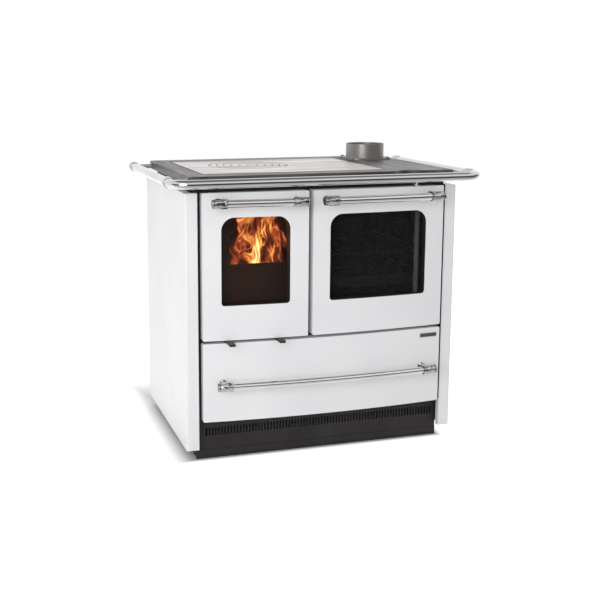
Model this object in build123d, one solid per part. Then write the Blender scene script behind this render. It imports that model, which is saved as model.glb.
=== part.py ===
from build123d import *
import math
import os

# Wood cookstove: fire door and oven door over one wide drawer, cast hob, rail all round.
# Millimetres. X to the right, Y into the stove, Z up. The working frame has Y = 0 on the
# front returns of the side panels; every piece is moved onto the plan centre when written.

# ---------------------------------------------------------------- heights, from the floor up
PANEL_BOTTOM_Z = 38.6
DRAWER_BOTTOM_Z = 127.0
DRAWER_HEIGHT = 239.0
DOOR_OVER_DRAWER = 8.5
DOOR_HEIGHT = 436.5
HOB_OVER_DOOR = 22.0
HOB_OVER_PANEL = 23.0
HOB_THICK = 25.0
FLOOR_SHEET = 3.0

# ---------------------------------------------------------------- casing
BODY_WIDTH = 860.0
RETURN_WIDTH = 37.6
RETURN_DEPTH = 18.0
PANEL_DEPTH = 577.0
PANEL_SHEET = 2.0
PANEL_CORNER = 7.0
PANEL_LIP = 25.0
FRAME_THICK = 6.0
CARCASS_SHEET = 3.0
CARCASS_BACK_SHEET = 5.0
CARCASS_INSET = 0.4

# ---------------------------------------------------------------- bowed fronts
BOW_END_Y = -10.0
BOW_SAGITTA = 20.5
FRONT_SIDE_GAP = 10.4
DOOR_SEAM_X = -55.5
DOOR_SEAM_GAP = 14.0
FRONT_BACK_Y = 13.0
FRONT_SHEET = 2.5
FRONT_CORNER = 5.0

# ---------------------------------------------------------------- windows and glass
WINDOW_RISE = 103.5
WINDOW_DROP = 72.5
WINDOW_TOP_RADIUS = 39.0
WINDOW_BOTTOM_RADIUS = 10.0
FIRE_WINDOW_MARGINS = (56.0, 56.5)
OVEN_WINDOW_MARGINS = (53.5, 59.0)
SLEEVE_GAP = 0.8
SLEEVE_WALL = 4.0
INNER_PLATE = 4.0
GLASS_THICK = 4.0
GLASS_LAP = 12.0
GASKET_INSET = 16.0
GASKET_WIDTH = 10.0

# ---------------------------------------------------------------- hinges and catches
HINGE_EDGE = 10.0
HINGE_Y = 2.0
HINGE_PIN_RADIUS = 3.5
HINGE_CLEARANCE = 0.05
HINGE_PIN_LENGTH = 11.5
HINGE_PLATE = 3.5
HINGE_LEAF = (22.0, 22.0)
HINGE_BLOCK_HEIGHT = 12.0
HINGE_BLOCK_SIDE = 15.0
HINGE_BLOCK_FRONT_Y = -6.0
TONGUE_THICK = 5.0
TONGUE_EDGE = 9.5
TONGUE_HEIGHT = 20.0
TONGUE_RISE = 40.5
TONGUE_REACH = 23.0
TONGUE_CLEARANCE = 3.5
KEEPER_SHEET = 3.0
KEEPER_DEPTH = 24.0

# ---------------------------------------------------------------- handles
HANDLE_STANDOFF = 47.0
HANDLE_BAR_RADIUS = 11.0
HANDLE_BELOW_DOOR_TOP = 26.5
HANDLE_OVER_DRAWER_BOTTOM = 120.0
FERRULE_LENGTH = 45.0
FERRULE_RADIUS = 14.5
FERRULE_END_RADIUS = 13.3
FERRULE_DISC_RADIUS = 13.3
FERRULE_DISC = 4.0
FERRULE_GROOVE = 2.0
FERRULE_GROOVE_RADIUS = 10.5
POST_RADIUS = 7.0
ROSETTE_RADIUS = 10.5
ROSETTE_THICK = 4.0
POST_OVERRUN = 12.0
FIRE_HANDLE_MARGINS = (18.0, 18.5)
OVEN_HANDLE_MARGINS = (16.5, 24.0)
DRAWER_HANDLE_MARGINS = (33.0, 37.0)

# ---------------------------------------------------------------- towel rail round the hob
RAIL_OUT = 60.0
RAIL_FORWARD = 62.0
RAIL_RISE = 9.5
RAIL_RADIUS = 13.5
RAIL_WALL = 2.0
RAIL_BEND = 50.0
RAIL_FERRULE_LENGTH = 40.0
RAIL_FERRULE_RADIUS = 17.0
RAIL_FERRULE_END = 14.5
RAIL_FRONT_FERRULE_IN = 22.0
RAIL_BACK_FERRULE_IN = 41.0
RAIL_POST_RADIUS = 7.0
RAIL_FOOT_RADIUS = 9.0
RAIL_FOOT_THICK = 4.0

# ---------------------------------------------------------------- hob
HOB_SIDE_INSET = 14.0
HOB_FRONT_OVERHANG = 10.0
HOB_BACK_OVERHANG = 9.0
HOB_CORNER = 10.0
HOB_EDGE = 2.5
PLATE_SIDE_MARGINS = (56.0, 201.0)
PLATE_END_MARGINS = (71.0, 86.0)
PLATE_THICK = 10.0
PLATE_GAP = 2.2
PLATE_LEDGE = 10.0
PLATE_CORNER = 4.0
RING_IN_PLATE = (213.0, 258.0)
RING_RADII = (125.0, 102.0, 80.0, 57.0, 31.0)
RING_NAMES = ("hob_ring_outer", "hob_ring_large", "hob_ring_medium", "hob_ring_small", "hob_disc")
RING_GAP = 1.2
RING_EDGE = 0.8
RING_LEDGE = 5.0
RING_LEDGE_GAP = 1.5
RING_STEP = 5.0
DISC_SLOT = (18.0, 7.0, 3.0)
BLANK_PLATE = (66.0, 13.0, 0.8)
BLANK_PLATE_IN = (110.0, 7.0)

# ---------------------------------------------------------------- flue collar
FLUE_IN = (95.0, 116.0)
FLUE_RADIUS = 65.0
FLUE_WALL = 3.0
FLUE_HEIGHT = 52.0
FLUE_SEAT = 5.0
FLANGE_SIDE = 152.0
FLANGE_CORNER = 35.0
FLANGE_THICK = 5.0
COLLAR_BOLT_INSET = 16.0
COLLAR_BOLT_RADIUS = 5.0
COLLAR_BOLT_HEIGHT = 4.0

# ---------------------------------------------------------------- plinth
PLINTH_OVERLAP = 3.5
PLINTH_FRONT_Y = 29.6
PLINTH_SHEET = 2.0
SKIRTING_HEIGHT = 25.6
SKIRTING_PROUD = 1.5
SLOT_COUNT = 77
SLOT_MARGINS = (32.5, 17.5)
SLOT_Z = (69.0, 95.0)
SLOT_WIDTH = 4.6

# ---------------------------------------------------------------- firebox
SHELL_INSET = 44.0
SHELL_PAST_SEAM = 20.5
SHELL_BACK_SPACE = 115.0
SHELL_RISE = 3.5
SHELL_DROP = 33.0
SHELL_SHEET = 3.0
FIRE_OPENING_INSETS = (46.0, 56.0)
FIRE_OPENING_DROP = 66.0
ASH_OPENING_INSETS = (36.0, 46.0)
ASH_OPENING_EDGE = 5.0
BRICK_THICK = 25.0
BRICK_DROP = 10.0
WALL_FIT = 0.2
BED_RISE = 74.0
BED_THICK = 18.0
GRATE_WIDTH = 120.0
GRATE_ENDS = (86.0, 92.0)
GRATE_THICK = 12.0
GRATE_LEDGE = 6.0
GRATE_GAP = 1.0
GRATE_SLOTS = 9
GRATE_SLOT_WIDTH = 9.0
GRATE_RIM = 14.0
GUARD_SPACE = 12.0
GUARD_THICK = 6.0
GUARD_HEIGHT = 120.0
DUCT_DEPTH = 30.0
DUCT_GAP = 3.0
DUCT_HEIGHT = 28.0
DUCT_WALL = 2.0
ASH_PAN_FIT = 6.0
ASH_PAN_ENDS = (6.0, 62.0)
ASH_PAN_HEIGHT = 55.0
ASH_PAN_WALL = 1.5
ASH_PAN_GRIP = (60.0, 4.0, 12.0)

# ---------------------------------------------------------------- air registers
PORT_OVER_DRAWER = 1.5
PORT_PLATE_THICK = 3.0
PORT_PLATE_DEPTH = 106.0
PORT_COUNT = 3
PORT_SIZE = (12.0, 50.0)
PORT_PITCH = 24.0
LEVER_THICK = 4.0
LEVER_WIDTH = 17.0
LEVER_TRAVEL = 40.0
LEVER_TAB_Y = (-66.0, -14.0)
LEVER_TAB_THICK = 6.0
LEVER_SLOT_SIDE = 2.0
LEVER_SLOT_RISE = 0.8
PRIMARY_LEVER_IN = 32.5
SECONDARY_LEVER_IN = 111.0
SHUTTER_X = (-20.0, 40.0)
SHUTTER_START = 6.0
SHUTTER_DEPTH = 80.0

# ---------------------------------------------------------------- oven
OVEN_INSETS = (48.5, 52.0)
OVEN_RISE = 65.5
OVEN_DROP = 51.0
OVEN_BACK_SPACE = 133.0
OVEN_WALL = 2.5
GUIDE_DEPTH = 10.0
GUIDE_POST = 5.0
GUIDE_POST_ENDS = (109.0, 49.0)
GUIDE_RAIL_ENDS = (94.0, 29.0)
GUIDE_RAIL = 4.0
GUIDE_RISES = (82.0, 156.0, 227.0)
GUIDE_PAIR = 14.5
RACK_ENDS = (26.0, 24.0)
RACK_FRAME_RADIUS = 3.0
RACK_ROD_RADIUS = 2.0
RACK_RODS = 15
TRAY_DROP = 34.0
TRAY_SHEET = 1.5
TRAY_ENDS = (36.0, 34.0)
TRAY_SIDE_GAP = 4.0
OVEN_SIDE_GAP = 6.0

# ---------------------------------------------------------------- flue damper
DAMPER_OFFSET = 39.0
DAMPER_UNDER_HOB = 13.0
DAMPER_ROD_RADIUS = 4.0
DAMPER_ROD_CLEARANCE = 0.1
DAMPER_KNOB_RADIUS = 7.0
DAMPER_KNOB_Y = (-38.0, -22.0)
SEAT_UNDER_HOB = 21.0
SEAT_THICK = 6.0
SEAT_REACH = (91.0, 90.0)
SEAT_HOLE_STEP = 2.0
DAMPER_LAP = 5.0
DAMPER_PLATE_THICK = 3.0
DAMPER_LUG = (14.0, 10.0, 12.0)

# ---------------------------------------------------------------- drawer
DRAWER_SIDE_SPACE = 37.0
DRAWER_BOX_MARGINS = (13.0, 26.0)
DRAWER_OPENING_SPACE = (10.0, 6.0)
DRAWER_BACK_SPACE = 77.0
DRAWER_SHEET = 2.0
DRAWER_BACKING = 3.0
RUNNER_THICK = 6.0
RUNNER_HEIGHT = 20.0
RUNNER_ENDS = (6.0, 10.0)
SLIDE_THICK = 6.0
SLIDE_RISE = 85.0
SLIDE_LAP = 4.0
SLIDE_BACK_SPACE = 17.0
CEILING_DROP = 14.0
BADGE_SIZE = (58.0, 12.5)
BADGE_IN = (12.0, 16.0)
BADGE_THICK = 1.2
BADGE_CORNER = 2.0

# ---------------------------------------------------------------- worked out: heights
DRAWER_TOP_Z = DRAWER_BOTTOM_Z + DRAWER_HEIGHT
DOOR_BOTTOM_Z = DRAWER_TOP_Z + DOOR_OVER_DRAWER
DOOR_TOP_Z = DOOR_BOTTOM_Z + DOOR_HEIGHT
HOB_BOTTOM_Z = DOOR_TOP_Z + HOB_OVER_DOOR
HOB_TOP_Z = HOB_BOTTOM_Z + HOB_THICK
PANEL_TOP_Z = HOB_BOTTOM_Z - HOB_OVER_PANEL
CARCASS_FLOOR_Z = DRAWER_BOTTOM_Z - FLOOR_SHEET
WINDOW_BOTTOM_Z = DOOR_BOTTOM_Z + WINDOW_RISE
WINDOW_TOP_Z = DOOR_TOP_Z - WINDOW_DROP
TONGUE_Z = DOOR_BOTTOM_Z + TONGUE_RISE
HANDLE_DOOR_Z = DOOR_TOP_Z - HANDLE_BELOW_DOOR_TOP
HANDLE_DRAWER_Z = DRAWER_BOTTOM_Z + HANDLE_OVER_DRAWER_BOTTOM
RAIL_Z = HOB_BOTTOM_Z + RAIL_RISE
PLATE_LEDGE_Z = HOB_TOP_Z - PLATE_THICK
FLUE_RIM_Z = HOB_TOP_Z + FLUE_HEIGHT
CEILING_Z = DRAWER_TOP_Z - CEILING_DROP
PORT_TOP_Z = DRAWER_TOP_Z + PORT_OVER_DRAWER
PORT_PLATE_Z = (PORT_TOP_Z - PORT_PLATE_THICK, PORT_TOP_Z)
SHELL_Z = (DOOR_BOTTOM_Z + SHELL_RISE, HOB_BOTTOM_Z - SHELL_DROP)
BED_Z = (SHELL_Z[0] + BED_RISE, SHELL_Z[0] + BED_RISE + BED_THICK)
BRICK_TOP_Z = SHELL_Z[1] - BRICK_DROP
FIRE_OPENING_Z = (BED_Z[1], DOOR_TOP_Z - FIRE_OPENING_DROP)
ASH_OPENING_Z = (SHELL_Z[0] + ASH_OPENING_EDGE, BED_Z[0] - ASH_OPENING_EDGE)
GUARD_TOP_Z = BED_Z[1] + GUARD_HEIGHT
DUCT_BOTTOM_Z = FIRE_OPENING_Z[1] + DUCT_GAP
DUCT_Z = (DUCT_BOTTOM_Z, DUCT_BOTTOM_Z + DUCT_HEIGHT)
OVEN_Z = (DOOR_BOTTOM_Z + OVEN_RISE, DOOR_TOP_Z - OVEN_DROP)
GUIDE_LEVELS = tuple(OVEN_Z[0] + rise for rise in GUIDE_RISES)
TRAY_LEVEL = GUIDE_LEVELS[0]
RACK_LEVEL = GUIDE_LEVELS[1]
DAMPER_Z = HOB_BOTTOM_Z - DAMPER_UNDER_HOB
SEAT_TOP_Z = HOB_BOTTOM_Z - SEAT_UNDER_HOB
SEAT_Z = (SEAT_TOP_Z - SEAT_THICK, SEAT_TOP_Z)
DRAWER_BOX_Z = (DRAWER_BOTTOM_Z + DRAWER_BOX_MARGINS[0], DRAWER_TOP_Z - DRAWER_BOX_MARGINS[1])
DRAWER_OPENING_Z = (DRAWER_BOX_Z[0] - DRAWER_OPENING_SPACE[1], DRAWER_BOX_Z[1] + DRAWER_OPENING_SPACE[1])
SLIDE_TOP_Z = DRAWER_BOX_Z[0] + SLIDE_RISE
BADGE_TOP_Z = DRAWER_TOP_Z - BADGE_IN[1]
BADGE_Z = (BADGE_TOP_Z - BADGE_SIZE[1], BADGE_TOP_Z)

# ---------------------------------------------------------------- worked out: widths
BODY_HALF = BODY_WIDTH / 2
RETURN_EDGE = BODY_HALF - RETURN_WIDTH
FRAME_HALF = RETURN_EDGE + PANEL_SHEET
CARCASS_HALF = RETURN_EDGE - CARCASS_INSET
CARCASS_INNER = CARCASS_HALF - CARCASS_SHEET
FRONT_HALF_WIDTH = RETURN_EDGE - FRONT_SIDE_GAP
FIRE_DOOR = (-FRONT_HALF_WIDTH, DOOR_SEAM_X - DOOR_SEAM_GAP / 2)
OVEN_DOOR = (DOOR_SEAM_X + DOOR_SEAM_GAP / 2, FRONT_HALF_WIDTH)
DRAWER_FRONT = (-FRONT_HALF_WIDTH, FRONT_HALF_WIDTH)
FIRE_WINDOW = (FIRE_DOOR[0] + FIRE_WINDOW_MARGINS[0], FIRE_DOOR[1] - FIRE_WINDOW_MARGINS[1])
OVEN_WINDOW = (OVEN_DOOR[0] + OVEN_WINDOW_MARGINS[0], OVEN_DOOR[1] - OVEN_WINDOW_MARGINS[1])
FIRE_HANDLE = (FIRE_DOOR[0] + FIRE_HANDLE_MARGINS[0], FIRE_DOOR[1] - FIRE_HANDLE_MARGINS[1])
OVEN_HANDLE = (OVEN_DOOR[0] + OVEN_HANDLE_MARGINS[0], OVEN_DOOR[1] - OVEN_HANDLE_MARGINS[1])
DRAWER_HANDLE = (DRAWER_FRONT[0] + DRAWER_HANDLE_MARGINS[0], DRAWER_FRONT[1] - DRAWER_HANDLE_MARGINS[1])
HOB_HALF_WIDTH = BODY_HALF - HOB_SIDE_INSET
PLATE_X = (-HOB_HALF_WIDTH + PLATE_SIDE_MARGINS[0], HOB_HALF_WIDTH - PLATE_SIDE_MARGINS[1])
BLANK_PLATE_RIGHT = HOB_HALF_WIDTH - BLANK_PLATE_IN[0]
RAIL_X = HOB_HALF_WIDTH + RAIL_OUT
PLINTH_HALF_WIDTH = CARCASS_HALF + PLINTH_OVERLAP
SLOT_X = (-PLINTH_HALF_WIDTH + SLOT_MARGINS[0], PLINTH_HALF_WIDTH - SLOT_MARGINS[1])
SHELL_X = (FIRE_DOOR[0] + SHELL_INSET, FIRE_DOOR[1] + SHELL_PAST_SEAM)
FIRE_OPENING_X = (SHELL_X[0] + FIRE_OPENING_INSETS[0], SHELL_X[1] - FIRE_OPENING_INSETS[1])
ASH_OPENING_X = (SHELL_X[0] + ASH_OPENING_INSETS[0], SHELL_X[1] - ASH_OPENING_INSETS[1])
ASH_PAN_X = (ASH_OPENING_X[0] + ASH_PAN_FIT, ASH_OPENING_X[1] - ASH_PAN_FIT)
GRATE_X = ((sum(SHELL_X) - GRATE_WIDTH) / 2, (sum(SHELL_X) + GRATE_WIDTH) / 2)
OVEN_X = (OVEN_DOOR[0] + OVEN_INSETS[0], OVEN_DOOR[1] - OVEN_INSETS[1])
DRAWER_BOX_HALF = CARCASS_INNER - DRAWER_SIDE_SPACE
DRAWER_OPENING_HALF = DRAWER_BOX_HALF + DRAWER_OPENING_SPACE[0]
BADGE_RIGHT = DRAWER_FRONT[1] - BADGE_IN[0]
BADGE_X = (BADGE_RIGHT - BADGE_SIZE[0], BADGE_RIGHT)
PRIMARY_LEVER_X = SHELL_X[0] + PRIMARY_LEVER_IN
SECONDARY_LEVER_X = SHELL_X[1] - SECONDARY_LEVER_IN

# ---------------------------------------------------------------- worked out: depths
FRAME_Y = RETURN_DEPTH
FRAME_BACK_Y = FRAME_Y + FRAME_THICK
CARCASS_BACK_Y = PANEL_DEPTH - PANEL_SHEET
CARCASS_INNER_Y = CARCASS_BACK_Y - CARCASS_BACK_SHEET
BOW_RADIUS = (CARCASS_HALF**2 + BOW_SAGITTA**2) / (2 * BOW_SAGITTA)
BOW_FRONT_Y = BOW_END_Y - BOW_SAGITTA
BOW_CENTRE_Y = BOW_FRONT_Y + BOW_RADIUS
INNER_PLATE_BACK_Y = FRONT_BACK_Y - GLASS_THICK
HOB_FRONT_Y = -HOB_FRONT_OVERHANG
HOB_BACK_Y = PANEL_DEPTH + HOB_BACK_OVERHANG
PLATE_Y = (HOB_FRONT_Y + PLATE_END_MARGINS[0], HOB_BACK_Y - PLATE_END_MARGINS[1])
RING_CENTRE = (PLATE_X[0] + RING_IN_PLATE[0], PLATE_Y[0] + RING_IN_PLATE[1])
FLUE_CENTRE = (HOB_HALF_WIDTH - FLUE_IN[0], HOB_BACK_Y - FLUE_IN[1])
FLUE_HOLE_RADIUS = FLUE_RADIUS - FLUE_SEAT
RAIL_FRONT_Y = HOB_FRONT_Y - RAIL_FORWARD
RAIL_FRONT_FERRULE_Y = HOB_FRONT_Y + RAIL_FRONT_FERRULE_IN
RAIL_BACK_FERRULE_Y = HOB_BACK_Y - RAIL_BACK_FERRULE_IN
SHELL_BACK_Y = PANEL_DEPTH - SHELL_BACK_SPACE
GRATE_Y = (FRAME_BACK_Y + GRATE_ENDS[0], SHELL_BACK_Y - GRATE_ENDS[1])
GUARD_Y = FRAME_BACK_Y + GUARD_SPACE
ASH_PAN_Y = (FRAME_BACK_Y + ASH_PAN_ENDS[0], SHELL_BACK_Y - ASH_PAN_ENDS[1])
PORT_PLATE_BACK_Y = FRAME_BACK_Y + PORT_PLATE_DEPTH
SHUTTER_Y = (FRAME_BACK_Y + SHUTTER_START, FRAME_BACK_Y + SHUTTER_START + SHUTTER_DEPTH)
PORT_Y = sum(SHUTTER_Y) / 2
OVEN_BACK_Y = PANEL_DEPTH - OVEN_BACK_SPACE
GUIDE_POST_Y = (FRAME_BACK_Y + GUIDE_POST_ENDS[0], OVEN_BACK_Y - GUIDE_POST_ENDS[1])
GUIDE_RAIL_Y = (FRAME_BACK_Y + GUIDE_RAIL_ENDS[0], OVEN_BACK_Y - GUIDE_RAIL_ENDS[1])
RACK_Y = (FRAME_BACK_Y + RACK_ENDS[0], OVEN_BACK_Y - RACK_ENDS[1])
TRAY_Y = (FRAME_BACK_Y + TRAY_ENDS[0], OVEN_BACK_Y - TRAY_ENDS[1])
DAMPER_X = FLUE_CENTRE[0] - DAMPER_OFFSET
SEAT_X0 = FLUE_CENTRE[0] - SEAT_REACH[0]
SEAT_Y0 = FLUE_CENTRE[1] - SEAT_REACH[1]
SEAT_HOLE_RADIUS = FLUE_HOLE_RADIUS - SEAT_HOLE_STEP
DAMPER_PLATE_HALF = SEAT_HOLE_RADIUS + DAMPER_LAP
DRAWER_BOX_BACK_Y = PANEL_DEPTH - DRAWER_BACK_SPACE
RUNNER_Y = (FRAME_BACK_Y + RUNNER_ENDS[0], DRAWER_BOX_BACK_Y - RUNNER_ENDS[1])
SLIDE_BACK_Y = PANEL_DEPTH - SLIDE_BACK_SPACE

os.makedirs("parts", exist_ok=True)


def keep(name, shape):
    """Write one piece, moved from the working frame onto the plan centre."""
    export_step(Pos(0, -Y_MID, 0) * shape, f"parts/{name}.step")


def block(x, y, z):
    """A box between two limits on each axis."""
    size = (x[1] - x[0], y[1] - y[0], z[1] - z[0])
    centre = ((x[0] + x[1]) / 2, (y[0] + y[1]) / 2, (z[0] + z[1]) / 2)
    return Pos(*centre) * Box(*size)


def upright(x, y, z, radius):
    """A cylinder that stands along Z between two heights."""
    return Pos(x, y, (z[0] + z[1]) / 2) * Cylinder(radius, z[1] - z[0])


def rod_x(x, y, z, radius):
    """A round bar along X between two limits."""
    turned = Rot(0, 90, 0) * Cylinder(radius, x[1] - x[0])
    return Pos((x[0] + x[1]) / 2, y, z) * turned


def rod_y(x, y, z, radius):
    """A round bar along Y between two limits."""
    turned = Rot(90, 0, 0) * Cylinder(radius, y[1] - y[0])
    return Pos(x, (y[0] + y[1]) / 2, z) * turned


def arched(x, y, z, top_radius, bottom_radius):
    """A prism along Y whose upper and lower corners are rounded apart."""
    face = Pos((x[0] + x[1]) / 2, (z[0] + z[1]) / 2) * Rectangle(x[1] - x[0], z[1] - z[0])
    face = fillet(face.vertices().sort_by(Axis.Y)[-2:], top_radius)
    sharp = face.vertices().sort_by(Axis.Y)[:2]
    face = fillet(sharp, bottom_radius)
    plane = Plane(origin=(0, y[1], 0), x_dir=(1, 0, 0), z_dir=(0, -1, 0))
    return extrude(plane * face, amount=y[1] - y[0])


def tablet(x, y, z, radius):
    """A flat slab along Z with rounded corners in plan."""
    face = RectangleRounded(x[1] - x[0], y[1] - y[0], radius)
    base = Pos((x[0] + x[1]) / 2, (y[0] + y[1]) / 2, z[0])
    return base * extrude(face, amount=z[1] - z[0])


def bow_y(x, behind=0.0):
    """Y of the bowed front surface, or of the same surface further back."""
    return BOW_CENTRE_Y - math.sqrt((BOW_RADIUS - behind) ** 2 - x * x)


def behind_bow(x, z, back_y, behind=0.0):
    """The solid between the bowed surface and a flat back."""
    middle = (x[0] + x[1]) / 2
    left = (x[0], bow_y(x[0], behind))
    right = (x[1], bow_y(x[1], behind))
    outline = ThreePointArc(left, (middle, bow_y(middle, behind)), right)
    outline += Polyline(right, (x[1], back_y), (x[0], back_y), left)
    return Pos(0, 0, z[0]) * extrude(make_face(outline), amount=z[1] - z[0])


def rounded(solid, radius):
    """A solid whose straight edges along Y are rounded."""
    return fillet(solid.edges().filter_by(Axis.Y), radius)


def bowed_tray(x, z):
    """A pressed front: bowed face, four returns, open at the back."""
    outer = rounded(behind_bow(x, z, FRONT_BACK_Y), FRONT_CORNER)
    inner_x = (x[0] + FRONT_SHEET, x[1] - FRONT_SHEET)
    inner_z = (z[0] + FRONT_SHEET, z[1] - FRONT_SHEET)
    hollow = behind_bow(inner_x, inner_z, FRONT_BACK_Y + FRONT_SHEET, FRONT_SHEET)
    return outer - rounded(hollow, FRONT_CORNER - FRONT_SHEET)


def hinge_x(door, side):
    """X of a door's hinge line, on its left (-1) or right (+1) edge."""
    return door[0] + HINGE_EDGE if side < 0 else door[1] - HINGE_EDGE


def window_cut(window, y, grow=0.0):
    """The window outline as a prism along Y, grown evenly when asked."""
    x = (window[0] - grow, window[1] + grow)
    z = (WINDOW_BOTTOM_Z - grow, WINDOW_TOP_Z + grow)
    return arched(x, y, z, WINDOW_TOP_RADIUS + grow, WINDOW_BOTTOM_RADIUS + grow)


def door_panel(door, window, side):
    """Enamelled outer door panel with its window and hinge bores."""
    z = (DOOR_BOTTOM_Z, DOOR_TOP_Z)
    panel = bowed_tray(door, z)
    panel -= window_cut(window, (BOW_FRONT_Y - FRONT_SHEET, FRONT_BACK_Y))
    bore = upright(hinge_x(door, side), HINGE_Y, z, HINGE_PIN_RADIUS + HINGE_CLEARANCE)
    return panel - bore


def tongue_x(door, side):
    """X limits of the catch tongue, on the free edge of the door."""
    if side < 0:
        return (door[1] - TONGUE_EDGE - TONGUE_THICK, door[1] - TONGUE_EDGE)
    return (door[0] + TONGUE_EDGE, door[0] + TONGUE_EDGE + TONGUE_THICK)


def door_frame(door, window, side):
    """Black inner frame: backing plate, window sleeve, hinge blocks and catch tongue."""
    x = (door[0] + FRONT_SHEET, door[1] - FRONT_SHEET)
    z = (DOOR_BOTTOM_Z + FRONT_SHEET, DOOR_TOP_Z - FRONT_SHEET)
    plate_y = (INNER_PLATE_BACK_Y - INNER_PLATE, INNER_PLATE_BACK_Y)
    radius = FRONT_CORNER - FRONT_SHEET
    frame = arched(x, plate_y, z, radius, radius)
    sleeve = window_cut(window, (BOW_FRONT_Y, plate_y[1]), SLEEVE_GAP + SLEEVE_WALL)
    frame += sleeve & behind_bow(x, z, plate_y[1], FRONT_SHEET)
    frame -= window_cut(window, (BOW_FRONT_Y, plate_y[1]), SLEEVE_GAP)
    edge = (x[0], x[0] + HINGE_BLOCK_SIDE) if side < 0 else (x[1] - HINGE_BLOCK_SIDE, x[1])
    block_y = (HINGE_BLOCK_FRONT_Y, plate_y[0])
    for low in (z[0], z[1] - HINGE_BLOCK_HEIGHT):
        frame += block(edge, block_y, (low, low + HINGE_BLOCK_HEIGHT))
    frame &= arched(x, (BOW_FRONT_Y, plate_y[1]), z, radius, radius)
    frame -= upright(hinge_x(door, side), HINGE_Y, z, HINGE_PIN_RADIUS + HINGE_CLEARANCE)
    tongue_z = (TONGUE_Z - TONGUE_HEIGHT / 2, TONGUE_Z + TONGUE_HEIGHT / 2)
    frame += block(tongue_x(door, side), (plate_y[1], plate_y[1] + TONGUE_REACH), tongue_z)
    return frame


def door_glass(window):
    """Flat ceramic glass that lies against the back of the inner frame."""
    x = (window[0] - GLASS_LAP, window[1] + GLASS_LAP)
    z = (WINDOW_BOTTOM_Z - GLASS_LAP, WINDOW_TOP_Z + GLASS_LAP)
    return block(x, (INNER_PLATE_BACK_Y, FRONT_BACK_Y), z)


def door_gasket(door):
    """Rope seal pressed between the inner frame and the stove front."""
    x = (door[0] + GASKET_INSET, door[1] - GASKET_INSET)
    z = (DOOR_BOTTOM_Z + GASKET_INSET, DOOR_TOP_Z - GASKET_INSET)
    y = (INNER_PLATE_BACK_Y, FRAME_Y)
    inner_x = (x[0] + GASKET_WIDTH, x[1] - GASKET_WIDTH)
    inner_z = (z[0] + GASKET_WIDTH, z[1] - GASKET_WIDTH)
    ring = arched(x, y, z, GASKET_WIDTH, GASKET_WIDTH)
    return ring - block(inner_x, y, inner_z)


def hinge_leaves(door, side):
    """Two fixed hinge leaves with pins, under and over one door."""
    pin_x = hinge_x(door, side)
    x = (pin_x - HINGE_LEAF[0] / 2, pin_x + HINGE_LEAF[0] / 2)
    y = (FRAME_Y - HINGE_LEAF[1], FRAME_Y)
    low = block(x, y, (DOOR_BOTTOM_Z - HINGE_PLATE, DOOR_BOTTOM_Z))
    low_pin = (DOOR_BOTTOM_Z, DOOR_BOTTOM_Z + HINGE_PIN_LENGTH)
    low += upright(pin_x, HINGE_Y, low_pin, HINGE_PIN_RADIUS)
    high = block(x, y, (DOOR_TOP_Z, DOOR_TOP_Z + HINGE_PLATE))
    high_pin = (DOOR_TOP_Z - HINGE_PIN_LENGTH, DOOR_TOP_Z)
    high += upright(pin_x, HINGE_Y, high_pin, HINGE_PIN_RADIUS)
    return [low, high]


def bar_radius():
    """Radius of the arc that the handle bars follow."""
    return BOW_RADIUS + HANDLE_STANDOFF


def bar_point(x, z):
    """A point on the centre line of a handle bar."""
    return (x, BOW_CENTRE_Y - math.sqrt(bar_radius() ** 2 - x * x), z)


def handle_front_y(span):
    """Foremost Y of a handle: its bar, or the barrel of either ferrule."""
    low = span[0] + FERRULE_LENGTH / 2
    high = span[1] - FERRULE_LENGTH / 2
    nearest = min(max(0, low), high)
    bar = bar_point(nearest, 0)[1] - HANDLE_BAR_RADIUS
    barrels = min(bar_point(low, 0)[1], bar_point(high, 0)[1]) - FERRULE_RADIUS
    return min(bar, barrels)


def handle_bar(span, z):
    """Bowed bar between the two ferrules of a handle."""
    x0 = span[0] + FERRULE_LENGTH
    x1 = span[1] - FERRULE_LENGTH
    path = ThreePointArc(bar_point(x0, z), bar_point((x0 + x1) / 2, z), bar_point(x1, z))
    section = Plane(origin=path @ 0, z_dir=path % 0) * Circle(HANDLE_BAR_RADIUS)
    return sweep(section, path=path)


def ferrule():
    """Barrel ferrule along X, its outer disc on the low side and the bar on the high side."""
    half = FERRULE_LENGTH / 2
    disc_end = -half + FERRULE_DISC
    barrel_start = disc_end + FERRULE_GROOVE
    low = (barrel_start, FERRULE_END_RADIUS)
    high = (half, FERRULE_END_RADIUS)
    outline = Polyline(
        high,
        (half, 0),
        (-half, 0),
        (-half, FERRULE_DISC_RADIUS),
        (disc_end, FERRULE_DISC_RADIUS),
        (disc_end, FERRULE_GROOVE_RADIUS),
        (barrel_start, FERRULE_GROOVE_RADIUS),
        low,
    )
    outline += ThreePointArc(low, ((barrel_start + half) / 2, FERRULE_RADIUS), high)
    return revolve(make_face(outline), Axis.X)


def handle_ends(span, z, front, front_z):
    """Ferrule, post and rosette at both ends of a handle, seated on the bowed front."""
    envelope = behind_bow(front, front_z, FRONT_BACK_Y)
    reach = HANDLE_STANDOFF + POST_OVERRUN
    ends = []
    for x, flip in ((span[0] + FERRULE_LENGTH / 2, 0), (span[1] - FERRULE_LENGTH / 2, 180)):
        piece = Rot(0, 0, flip) * ferrule()
        piece += rod_y(0, (0, reach), 0, POST_RADIUS)
        rosette_y = (HANDLE_STANDOFF - ROSETTE_THICK, reach)
        piece += rod_y(0, rosette_y, 0, ROSETTE_RADIUS)
        turn = math.degrees(math.asin(x / bar_radius()))
        ends.append(Location(bar_point(x, z), (0, 0, turn)) * piece - envelope)
    return ends


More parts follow.
